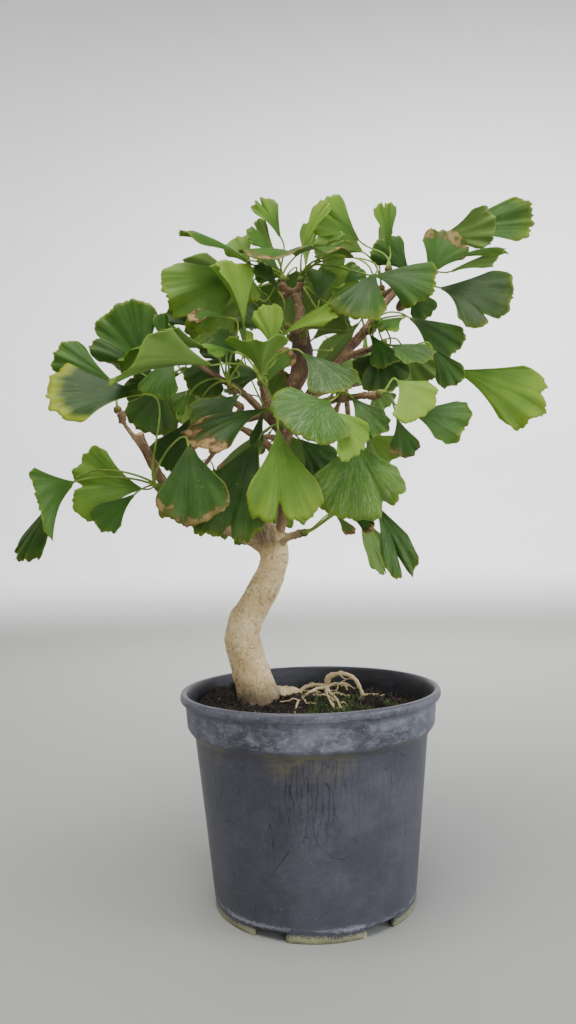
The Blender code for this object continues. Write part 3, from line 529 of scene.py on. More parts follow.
def scatterGroup():
    # lumps or tufts strewn on a surface, each with its own size, turn and tint
    graph, given, keys = nodeGroup("strewnPieces", {
        "Density": "Float", "Smallest": "Float", "Largest": "Float", "Sink": "Float",
        "Lean": "Float", "Shape": "Object", "Roughen": "Float", "Seed": "Int",
        "Finish": "Material"})
    density, smallest, largest, sink, lean, shape, roughen, seed, finish = [
        given.part(label) for label in keys]

    def drawn(low, high, seed, vector=False):
        # a random value or vector for each instance
        kind, first, output = ("FLOAT_VECTOR", 0, 0) if vector else ("FLOAT", 2, 1)
        return graph.node("FunctionNodeRandomValue", {"data_type": kind},
                          {first: low, first + 1: high, "Seed": seed}, output=output)

    def joined(**axes):
        # a vector from the values of its axes
        return graph.node("ShaderNodeCombineXYZ", None,
                          {name.upper(): value for name, value in axes.items()})

    def scaled(vector, factor):
        return graph.node("ShaderNodeVectorMath", {"operation": "SCALE"},
                          {0: vector, "Scale": factor})

    spots = graph.node("GeometryNodeDistributePointsOnFaces", {"distribute_method": "RANDOM"},
                       {"Mesh": given, "Density": density, "Seed": seed})
    shape = graph.node("GeometryNodeObjectInfo", {"transform_space": "ORIGINAL"},
                       {"Object": shape}, output="Geometry")
    turn = drawn(joined(x=lean * -1.0, y=lean * -1.0), joined(x=lean, y=lean, z=6.28), seed, True)
    size = smallest + (largest - smallest) * drawn(0.0, 1.0, seed + 1.0) ** 2.5
    squash = drawn((0.5, 0.5, 0.5), (1.5, 1.2, 1.1), seed + 2.0, True)
    placed = graph.node("GeometryNodeInstanceOnPoints", None,
                        {"Points": spots, "Instance": shape, "Rotation": turn,
                         "Scale": scaled(squash, size)})
    marked = graph.node("GeometryNodeStoreNamedAttribute",
                        {"data_type": "FLOAT", "domain": "INSTANCE"},
                        {"Geometry": placed, "Name": "tint", "Value": drawn(0.0, 1.0, seed + 3.0)})
    lowered = graph.node("GeometryNodeTranslateInstances", None,
                         {"Instances": marked, "Local Space": False,
                          "Translation": joined(z=sink * -1.0)})
    real = graph.node("GeometryNodeRealizeInstances", None, {"Geometry": lowered})
    rough = graph.node("ShaderNodeTexNoise", None,
                       {"Vector": graph.node("GeometryNodeInputPosition"), "Scale": 700.0,
                        "Detail": 1.0}, output="Color")
    rough = graph.node("ShaderNodeVectorMath", {"operation": "SUBTRACT"},
                       {0: rough, 1: (0.5, 0.5, 0.5)})
    moved = graph.node("GeometryNodeSetPosition", None,
                       {"Geometry": real, "Offset": scaled(rough, roughen)})
    painted = graph.node("GeometryNodeSetMaterial", None, {"Geometry": moved, "Material": finish})
    graph.node("NodeGroupOutput", None, {"Geometry": painted})
    return graph.tree, keys


def strewn(name, points, faces, settings):
    # one piece made of pieces strewn over the given faces
    piece = meshPiece(name, points, faces)
    change = piece.modifiers.new("strewn", "NODES")
    change.node_group = scatterTree
    for label, value in settings.items():
        change[scatterKeys[label]] = value
    plainMesh(piece, settings["Finish"])
    piece.data.polygons.foreach_set("use_smooth", [False] * len(piece.data.polygons))
    return piece


def lumpShape():
    # a low lump of 20 faces, one unit in radius
    work = bmesh.new()
    bmesh.ops.create_icosphere(work, subdivisions=1, radius=1.0)
    mesh = bpy.data.meshes.new("lumpShape")
    work.to_mesh(mesh)
    work.free()
    return bpy.data.objects.new("lumpShape", mesh)


def bladeShape():
    # a short bent tuft blade, one unit tall
    steps = ((0, 0.13, 0), (0.45, 0.12, 0.06), (0.8, 0.07, 0.2), (1.0, 0.015, 0.34))
    points = []
    for height, width, bend in steps:
        for a in (0, 2.09, 4.19):
            points.append((width * math.cos(a) + bend, width * math.sin(a), height))
    rings = [range(i, i + 3) for i in (0, 3, 6, 9)]
    faces = [(0, 2, 1)]
    for lower, upper in zip(rings, rings[1:]):
        faces += ringFaces(lower, upper)
    faces.append((9, 10, 11))
    mesh = bpy.data.meshes.new("bladeShape")
    mesh.from_pydata(points, [], faces)
    return bpy.data.objects.new("bladeShape", mesh)


def soilTop():
    # rings of the soil's top, from the wall to the middle
    look = soilLook
    points, rings = [], []
    for i in range(look["rings"], 0, -1):
        radius = look["topRadius"] * i / look["rings"]
        rings.append(range(len(points), len(points) + look["sides"]))
        for x, y, _ in circle(radius, 0, look["sides"]):
            points.append((x, y, float(soilHeight(x, y)) + soilGrain(x, y)))
    return points, rings


def mossy(points, face):
    x, y, _ = np.mean([points[i] for i in face], axis=0)
    ragged = 1.0 + 0.6 * noiseAt(x / 4, y / 4, 1.7)
    return any(math.hypot(x - px, y - py) < r * ragged for px, py, r in mossLook["patches"])


def makeSoil():
    look = soilLook
    sides = look["sides"]
    points, rings = soilTop()
    topFaces = []
    for lower, upper in zip(rings, rings[1:]):
        topFaces += ringFaces(lower, upper)
    middle = len(points)
    points.append((0, 0, float(soilHeight(0, 0))))
    topFaces += [(a, b, middle) for a, b, _, _ in ringFaces(rings[-1], rings[-1])]
    faces = list(topFaces)
    walls = [rings[0]]
    for radius, height in look["side"]:
        walls.append(range(len(points), len(points) + sides))
        points += circle(radius, height, sides)
    for upper, lower in zip(walls, walls[1:]):
        faces += ringFaces(lower, upper)
    faces.append(tuple(reversed(walls[-1])))
    soil = meshPiece("soil_bed", points, faces, soilFinish())
    standsFor(soil, "potting_soil", "soil")
    reach = [max(math.hypot(points[i][0], points[i][1]) for i in face) for face in topFaces]
    bed = [face for face, r in zip(topFaces, reach) if r < 75.5]
    bare = [face for face in bed if not mossy(points, face)]
    crumbs = strewn("soil_crumbs", points, bare, {
        "Density": look["crumbDensity"], "Smallest": look["smallestCrumb"] * mm,
        "Largest": look["largestCrumb"] * mm, "Sink": 0.0, "Lean": 3.1, "Shape": lumpShape(),
        "Roughen": 0.0006, "Seed": 4, "Finish": crumbFinish()})
    standsFor(crumbs, "potting_soil")
    fibres = strewn("soil_fibres", points, bed, {
        "Density": look["fibreDensity"], "Smallest": look["shortestFibre"] * mm,
        "Largest": look["longestFibre"] * mm, "Sink": -0.0003, "Lean": 1.6, "Shape": bladeShape(),
        "Roughen": 0.0006, "Seed": 21, "Finish": crumbFinish()})
    standsFor(fibres, "potting_soil")
    print("soil:", len(soil.data.polygons), "faces, crumbs:", len(crumbs.data.polygons))
    return points, bed


def mossFinish():
    made = Finish("mossTufts")
    tint = made.value("tint")
    colour = made.ramp(tint, [(0.0, (0.012, 0.028, 0.004)), (0.6, (0.038, 0.070, 0.010)),
                              (0.9, (0.10, 0.135, 0.022)), (1.0, (0.24, 0.25, 0.08))])
    return made.surface(made.plain({"Base Color": colour, "Roughness": 0.8}))


def makeMoss(points, bed):
    look = mossLook
    chosen = [face for face in bed if mossy(points, face)]
    moss = strewn("moss", points, chosen, {
        "Density": look["density"], "Smallest": look["shortest"] * mm,
        "Largest": look["tallest"] * mm, "Sink": 0.0002, "Lean": 0.7, "Shape": bladeShape(),
        "Roughen": 0.0, "Seed": 9, "Finish": mossFinish()})
    standsFor(moss, "potting_soil")
    print("moss:", len(moss.data.polygons), "faces")


scatterTree, scatterKeys = scatterGroup()
soilPoints, soilBed = makeSoil()
makeMoss(soilPoints, soilBed)


woodLook = {
    "voxel": 0.79, "smooth": 2, "spurRadius": 2.7, "spurLength": 3.5,
    "mirrorY": 20.0, "backDepth": 1.15,
    "tan": (0.61, 0.445, 0.21), "pale": (0.86, 0.685, 0.40), "grooveAndShade": (0.20, 0.13, 0.058),
    "branch": (0.18, 0.092, 0.039), "knob": (0.060, 0.036, 0.021), "dirt": (0.075, 0.055, 0.030),
    "root": (0.60, 0.475, 0.27), "cut": (0.60, 0.42, 0.22), "rootSeed": 5, "rootletsEach": 7,
    # the leader's swelling, the dark old cut at the fork and the pale end of the left branch
    "knobPlace": (1, 15, 362), "stubPlace": (-27, 8, 236), "cutPlace": (-106, -23, 302),
}

# centre lines with a radius at each point (x, y, z, radius)
trunkLine = [(-33, 18, 100, 16), (-33, 18, 112, 16.5), (-34, 18, 121, 15.5), (-37, 18, 132, 13.5),
             (-41, 18, 146, 12.6), (-44, 18, 158, 12.2), (-45, 18, 167, 12), (-42, 18, 177, 11.6),
             (-36, 18, 187, 11), (-29, 18, 199, 10.4), (-24, 18, 210, 9.9), (-21, 18, 220, 9.4),
             (-20, 18, 230, 8)]
cutTopLine = [(-23, 18, 222, 8.5), (-26, 17, 233, 8), (-29, 17, 242, 7)]
leaderLine = [(-20, 19, 225, 4.4), (-17, 18, 238, 3.6), (-15, 17, 252, 3.3), (-14, 14, 272, 3.4),
              (-14, 10, 290, 3.7), (-14, 8, 308, 4.2), (-9, 10, 327, 4.4), (-1, 14, 346, 6.2),
              (1, 15, 362, 7.4), (1, 15, 374, 5.6), (1, 15, 388, 3.6), (-3, 15, 404, 2.8)]
branchLines = {
    "centre": [(-14, 8, 304, 3.6), (-20, -6, 316, 3.4), (-25, -14, 327, 3)],
    "left": [(-22, 18, 224, 6), (-38, 14, 232, 4.2), (-53, 9, 239, 3.6), (-67, 1, 247, 3.4),
             (-81, -7, 257, 3.3), (-92, -14, 271, 3.2), (-100, -20, 287, 3.1), (-106, -23, 302, 3)],
    "left_shoot": [(-99, -19, 284, 1.8), (-107, -25, 297, 1.6), (-115, -29, 309, 1.3)],
    "middle_left": [(-15, 9, 305, 3), (-37, -1, 328, 2.5), (-56, -4, 341, 2.2), (-73, -7, 353, 2)],
    "right": [(-13, 10, 297, 3.4), (3, 4, 326, 3.4), (27, -3, 352, 3.3), (43, -5, 369, 3.1),
              (60, -1, 391, 2.5), (74, 5, 405, 2.1), (87, 9, 414, 1.8)],
    "front_right": [(0, 7, 320, 2.8), (14, -18, 320, 2.5), (29, -40, 318, 2.2), (40, -52, 317, 2)],
    "low_right": [(26, -3, 351, 2.4), (47, -12, 355, 2.1), (63, -16, 352, 1.8)],
    "low_twig": [(-19, 17, 227, 2.8), (-12, 6, 232, 2.2), (-7, -2, 234, 2)],
    "back_left": [(-15, 12, 287, 3.2), (-30, 34, 304, 2.6), (-50, 52, 318, 2.2)],
    "back_right": [(-8, 12, 325, 3.2), (12, 38, 336, 2.6), (34, 56, 346, 2.2)],
}
rootLines = {
    "nub": [(-28, 20, 122, 9), (-19, 26, 124.5, 6.8), (-11, 33, 123.5, 5.2), (-6, 40, 119, 4)],
    "arch": [(-8, 38, 113, 3), (6, 45, 113, 3), (12, 47, 119, 2.8), (13, 46, 127, 2.8),
             (16, 43, 133.5, 2.5), (23, 38, 135.5, 2.2), (30, 34, 133.5, 2), (35, 31, 128, 1.9),
             (38, 29, 119, 1.9), (39, 28, 114, 1.6)],
    "long": [(-10, 37, 120, 2.2), (-3, 47, 124.5, 1.9), (6, 46, 126.4, 1.8), (12, 33, 126.6, 1.7),
             (14, 15, 126.2, 1.6), (18, -6, 124, 1.3), (22, -22, 118, 1)],
    "left_fork": [(11, 35, 126.4, 1.5), (2, 22, 127, 1.4), (-7, 0, 124.6, 1.3), (-12, -22, 118, 1)],
    "front_fork": [(12, 31, 126.4, 1.5), (12, 8, 126.6, 1.2), (15, -14, 122.5, 1.1),
                   (17, -24, 117.5, 1)],
    "back_fork": [(12, 33, 126.6, 1.4), (19, 44, 127.6, 1.1), (26, 50, 125.5, 1), (30, 52, 117, 1)],
}
sprayBuds = {
    "left_low": ((-93, -22, 266), (-3, -7, 3)),
    "left_tip": ((-116, -31, 314), (-5, -3, 8)),
    "left_upper": ((-77, -9, 357), (-7, -2, 6)),
    "left_inner": ((-46, -9, 332), (-5, -6, 6)),
    "front_whorl": ((-26, -20, 331), (-3, -5, 8)),
    "front_low": ((-15, -10, 307), (0, -9, 1)),
    "knob_front": ((2, -1, 367), (0, -6, 7)),
    "knob_left": ((-5, 10, 375), (-8, -2, 6)),
    "crown_left": ((-11, 11, 409), (-2, -1, 10)),
    "crown_right": ((1, 13, 407), (2, -1, 10)),
    "right_crown": ((61, 2, 411), (1, -1, 10)),
    "right_tip": ((90, 10, 417), (6, 0, 8)),
    "right_upper": ((77, 4, 399), (9, -1, 3)),
    "right_front": ((48, -14, 370), (2, -8, 5)),
    "right_low": ((67, -17, 351), (8, -4, 3)),
    "front_right": ((23, -36, 319), (0, -10, 2)),
    "front_far_right": ((43, -55, 316), (6, -7, 1)),
    "low_twig": ((-5, -4, 235), (8, -5, 1)),
}


def allSprays():
    # front sprays by name, and their answers behind the mirror plane, all clear of the wood
    look = woodLook
    sprays = {name: (np.array(point, float), unit(way)) for name, (point, way) in sprayBuds.items()}
    for name, (point, way) in sprayBuds.items():
        x, y, z = point
        back = np.array((x, look["mirrorY"] + (look["mirrorY"] - y) * look["backDepth"], z))
        if back[1] - y > 14 and abs(x) < 100:
            sprays["back_" + name] = (back, unit((way[0], -way[1], way[2])))
    lines = [trunkLine, leaderLine, *branchLines.values()]
    wood = np.vstack([smoothPath(line, 4) for line in lines])
    for name, (point, way) in sprays.items():
        while np.min(np.linalg.norm(wood[:, :3] - point, axis=1) - wood[:, 3]) < look["spurLength"]:
            point = point + way
        sprays[name] = (point, way)
    return sprays, wood


def spurLines(sprays, wood):
    # a spur from the nearest wood to the foot of each bud, ringed like old short shoots
    size = woodLook["spurRadius"]
    lines = []
    for point, way in sprays.values():
        nearest = wood[np.argmin(np.linalg.norm(wood[:, :3] - point, axis=1)), :3]
        start = nearest - unit(point - nearest) * 1.2 - (0.3, 0.5, 0.9)
        length = np.linalg.norm(point - start)
        middle = (start + point) / 2 - way * min(2.0, length * 0.1)
        before = point - way * min(4.0, length * 0.4)
        line = [(*start, size * 0.8)]
        if length > 14:
            line.append((*middle, size * 0.8))
        line += [(*before, size), (*point, size)]
        lines.append(line)
    return lines


def gnarled(path, seed):
    # a root's line with small bends and knobs
    path = path.copy()
    for i, radius in enumerate(path[:, 3].copy()):
        spot = Vector((i * 0.21, seed * 3.7, 0.0))
        path[i, :3] += 0.9 * np.array(noise.noise_vector(spot))
        path[i, 3] = max(0.62, radius * (0.82 + 0.36 * noise.noise(spot * 2.3)))
    return path


def rootlets():
    # fine roots that wander off the larger ones and down to the soil
    draw = np.random.RandomState(woodLook["rootSeed"])
    lines = []
    for name in ("long", "left_fork", "front_fork", "back_fork", "arch"):
        path = smoothPath(rootLines[name], 6)
        for i in draw.choice(np.arange(4, len(path) - 6), woodLook["rootletsEach"], replace=False):
            x, y, z, _ = path[i]
            heading, radius = draw.uniform(0, 2 * math.pi), draw.uniform(0.3, 0.62)
            line = [(x, y, z, radius)]
            for s in range(draw.randint(5, 13)):
                heading += draw.uniform(-0.75, 0.75)
                x, y = x + 1.7 * math.cos(heading), y + 1.7 * math.sin(heading)
                ground = float(soilHeight(x, y)) + soilGrain(x, y) + 1.1
                z = max(ground, z - draw.uniform(-0.6, 1.5))
                line.append((x, y, z, radius * (1 - 0.045 * s)))
            lines.append(line)
    return lines


def woodPaths(sprays, wood):
    # every centre line with its steps, sides and kind: 0 trunk, 1 branch, 2 root, 3 spur
    paths = [(trunkLine, 10, 40, 0), (cutTopLine, 8, 28, 0), (leaderLine, 8, 24, 1)]
    paths += [(line, 7, 18, 1) for line in branchLines.values()]
    paths += [(line, 6, 14, 3) for line in spurLines(sprays, wood)]
    paths = [(smoothPath(line, steps), sides, kind) for line, steps, sides, kind in paths]
    for i, line in enumerate(rootLines.values()):
        paths.append((gnarled(smoothPath(line, 8), i), 16, 2))
    return paths


def woodFinish():
    made = Finish("ginkgoBark")
    look = woodLook
    where = made.objectPlace()
    height = made.axis(where, "Z") * 1000.0
    grain = made.node("ShaderNodeAttribute", {"attribute_name": "grain"}, output="Vector")
    kind, hollow, cut = made.value("kind"), made.value("hollow"), made.value("cut")
    fibres = made.cloud(made.stretched(grain, (1.0, 1.0, 0.10)), 620.0, 5.0, 0.65, 0.4)
    fine = made.cloud(made.stretched(grain, (1.0, 1.0, 0.22)), 1900.0, 3.0, 0.6)
    patches = made.cloud(where, 55.0, 4.0, 0.6)
    spots = made.cloud(made.stretched(grain, (0.45, 0.45, 1.0)), 900.0, 2.0, 0.5)
    trunk = made.mix(patches.rise(0.35, 0.7), look["tan"], look["pale"])
    pores = made.cloud(made.stretched(grain, (1.0, 1.0, 0.45)), 1100.0, 4.0, 0.7)
    wrinkles = made.cloud(made.stretched(grain, (0.30, 0.30, 1.0)), 760.0, 4.0, 0.7, 0.5)
    trunk = made.mix(wrinkles.rise(0.46, 0.62) * 0.4, trunk, look["tan"])
    trunk = made.mix((1 - fibres.rise(0.32, 0.42)) * 0.4, trunk, look["grooveAndShade"])
    trunk = made.mix((1 - wrinkles.rise(0.36, 0.46)) * 0.7, trunk, look["grooveAndShade"])
    trunk = made.mix((1 - pores.rise(0.35, 0.44)) * 0.7, trunk, look["grooveAndShade"])
    twig = made.mix(patches.rise(0.4, 0.65) * 0.3, look["branch"], look["tan"])
    twig = made.mix((1 - fibres.rise(0.36, 0.56)) * 0.85, twig, look["knob"])
    twig = made.mix(pores.rise(0.5, 0.62) * 0.35, twig, look["knob"])
    twig = made.mix(spots.rise(0.62, 0.70) * 0.3, twig, look["pale"])
    isTwig = kind.rise(0.3, 0.8) * height.rise(215.0, 250.0)
    colour = made.mix(isTwig, trunk, twig)
    isRoot = kind.rise(1.3, 1.8) * (1 - kind.rise(2.3, 2.8))
    colour = made.mix(isRoot * 0.8, colour, look["root"])
    knob = made.value("knob")
    colour = made.mix(knob * (0.72 + 0.28 * fibres.rise(0.4, 0.6)), colour, look["knob"])
    # painted shade: darker in the deep cracks of the trunk and between the rings of the spurs
    colour = made.mix(hollow * 0.8, colour, look["grooveAndShade"])
    soiled = height + (patches - 0.5) * 14.0 + (pores - 0.5) * 10.0
    dirt = (1 - soiled.rise(124.0, 140.0)) * (1 - isRoot)
    colour = made.mix(dirt * 0.85, colour, look["dirt"])
    colour = made.mix(cut, colour, look["cut"])
    colour = made.mix(fine.rise(0.35, 0.65) * 0.3, colour, (0.55, 0.5, 0.42), "MULTIPLY")
    relief = fibres * (0.35 + 0.65 * isTwig) + wrinkles * (1 - isTwig) * 0.8 + fine * 0.35
    return made.surface(made.plain({
        "Base Color": colour, "Roughness": 0.82 - fibres.rise(0.5, 0.7) * 0.12,
        "Normal": made.bump(relief, 0.0012, 0.9)}))


def woodCoordinates(co, paths):
    # for each point: the nearest centre line's kind, the place round and along it, and its radius
    apart, batch = 40.0, 4000  # bark between two lines, and points searched at a time
    rows, travelled = [], 0.0
    for path, _, kind in paths:
        centre = path[:, :3]
        steps = np.r_[0, np.cumsum(np.linalg.norm(np.diff(centre, axis=0), axis=1))]
        rows.append(np.column_stack([centre, *pathFrames(centre), steps + travelled,
                                     np.full(len(centre), kind, float), path[:, 3]]))
        travelled += steps[-1] + apart
    centres, rights, others, rest = np.split(np.vstack(rows), (3, 6, 9), axis=1)
    along, kinds, radii = rest.T
    nearest = np.empty(len(co), int)
    for i in range(0, len(co), batch):
        gap = np.linalg.norm(co[i:i + batch, None] - centres[None], axis=2) - radii[None]
        nearest[i:i + batch] = gap.argmin(axis=1)
    off = co - centres[nearest]
    turn = np.arctan2((off * others[nearest]).sum(1), (off * rights[nearest]).sum(1))
    radius = radii[nearest]
    grain = np.stack([np.cos(turn) * radius, np.sin(turn) * radius, along[nearest]], axis=1)
    return grain, kinds[nearest], radius


def barkRelief(co, grain, kinds, radius):
    # height of the bark off the smooth wood, in millimetres, and how much painted shade darkens its
    # cracks and the hollows between the rings of the spurs
    height = np.empty(len(co))
    hollow = np.zeros(len(co))
    for i, (p, g, kind, r) in enumerate(zip(co, grain, kinds, radius)):
        ridge = noiseAt(g[0] / 1.9, g[1] / 1.9, g[2] / 7.5)
        crease = noiseAt(g[0] / 3.4, g[1] / 3.4, g[2] / 1.3)
        plate = noiseAt(g[0] / 4.0, g[1] / 4.0, g[2] / 9.0 + 7.0)
        lump = noiseAt(p[0] / 7.0, p[1] / 7.0, p[2] / 7.0)
        if kind < 0.5:
            crack = max(0.0, -ridge - 0.22)
            height[i] = 0.30 * plate + 0.75 * lump + 0.28 * crease - 0.45 * crack
            # painted shade in the deepest cracks
            hollow[i] = min(0.55, max(0.0, crack - 0.14) * 3.0)
        elif kind < 1.5:
            size = 0.24 if r < 3.2 else 0.26 + 0.14 * (r - 3.2)
            scar = 0.35 * max(0.0, math.sin(g[2] * 0.62)) ** 12
            height[i] = size * (1.2 * lump + 0.8 * plate + 0.7 * ridge) + scar
        elif kind < 2.5:
            height[i] = 0.12 * plate + 0.22 * lump * min(1.0, r / 3)
        else:
            height[i] = 0.26 * math.sin(g[2] * 4.2) + 0.25 * lump
            # painted shade in the hollows between the rings
            hollow[i] = 0.5 - 0.5 * math.sin(g[2] * 4.2)
    return height, hollow


def makeWood(sprays, wood):
    look = woodLook
    paths = woodPaths(sprays, wood)
    lines = [(path[:, :3], path[:, 3], sides) for path, sides, _ in paths]
    tree = meshPiece("tree_wood", *tubes(lines), woodFinish())
    outward(tree.data)
    joined = tree.modifiers.new("joined", "REMESH")
    joined.mode = "VOXEL"
    joined.voxel_size = look["voxel"] * mm
    eased = tree.modifiers.new("eased", "SMOOTH")
    eased.factor = 0.5
    eased.iterations = look["smooth"]
    plainMesh(tree, tree.data.materials[0])
    mesh = tree.data
    co = np.array([v.co for v in mesh.vertices])
    normals = np.array([v.normal for v in mesh.vertices])
    local = (co - potMiddle) / mm
    grain, kinds, radius = woodCoordinates(local, paths)
    height, hollow = barkRelief(local, grain, kinds, radius)
    co = co + normals * height[:, None] * mm
    mesh.vertices.foreach_set("co", co.astype(np.float32).ravel())
    mesh.update()
    pointValues(tree, "grain", grain * mm, "FLOAT_VECTOR")
    pointValues(tree, "kind", kinds)
    pointValues(tree, "hollow", hollow)
    x, y, z = look["knobPlace"]
    leader = np.linalg.norm(local[:, :2] - (x, y), axis=1) < 15
    knobs = np.exp(-((local[:, 2] - z) / 17) ** 2) * leader
    stub = np.exp(-(np.linalg.norm(local - look["stubPlace"], axis=1) / 11) ** 4)
    pointValues(tree, "knob", np.maximum(knobs, stub * 0.9))
    cutEnd = np.linalg.norm(local - look["cutPlace"], axis=1) < 3.4
    pointValues(tree, "cut", cutEnd * 1.0)
    standsFor(tree, "bark", "trunk")
    print("wood:", len(mesh.polygons), "faces")


def makeRootlets():
    # the finest roots, too thin for the voxels of the tree
    paths = [(smoothPath(line, 3), 7, 2) for line in rootlets()]
    lines = [(path[:, :3], path[:, 3], sides) for path, sides, _ in paths]
    fine = meshPiece("fine_roots", *tubes(lines), bpy.data.materials["ginkgoBark"])
    outward(fine.data)
    local = localPoints(fine.data)
    grain, kinds, _ = woodCoordinates(local, paths)
    pointValues(fine, "grain", grain * mm, "FLOAT_VECTOR")
    pointValues(fine, "kind", kinds)
    for name in ("hollow", "knob", "cut"):
        pointValues(fine, name, np.zeros(len(local)))
    standsFor(fine, "bark")
    print("fine roots:", len(fine.data.polygons), "faces")


sprays, woodLine = allSprays()
makeWood(sprays, woodLine)
makeRootlets()


leafLook = {
    "plain": {"fold": 0.0, "notch": 0.0, "at": 0.0, "skew": 0.0, "shoulder": 0.16, "flare": 0.45,
              "bow": 0.06, "ripple": 0.03, "tone": 0.3, "edge": 0.15, "streak": 0.15, "burn": 0.05},
    "halfBlade": 0.27, "blade": 0.8, "stalk": 0.8, "neck": 3.0, "budLength": 4.5,
    "across": 60, "rows": (0, 0.03, 0.08, 0.16, 0.26, 0.37, 0.48, 0.59, 0.70, 0.80, 0.88, 0.95, 1),
    "backSeed": 11, "backReach": 150.0, "backAnswers": 84, "backTurn": 65.0,
    "deep": (0.008, 0.030, 0.005), "middle": (0.036, 0.105, 0.012), "young": (0.215, 0.355, 0.046),
    "margin": (0.30, 0.345, 0.022), "veil": (0.30, 0.37, 0.22), "dry": (0.30, 0.20, 0.085),
    "scorch": (0.085, 0.045, 0.014), "under": (0.20, 0.30, 0.075),
    "stalkGreen": (0.105, 0.165, 0.026), "stalkPale": (0.20, 0.29, 0.045),
    "budBrown": (0.12, 0.075, 0.030), "glow": (0.26, 0.50, 0.02, 1.0),
    # moves tried to find where a leaf's solid stands, and how near its corners have to be
    "moveSizes": (3, 6, 9, 13, 17, 22), "near": 0.15,
    "moveWays": ((0, -1, 0), (0, 1, 0), (0, -0.7, 0.5), (0, 0.7, -0.5), (0.6, 0, -0.6),
                 (-0.6, 0, 0.6), (0, 0, -1), (0, 0, 1)),
    "largeBlade": 26,
}
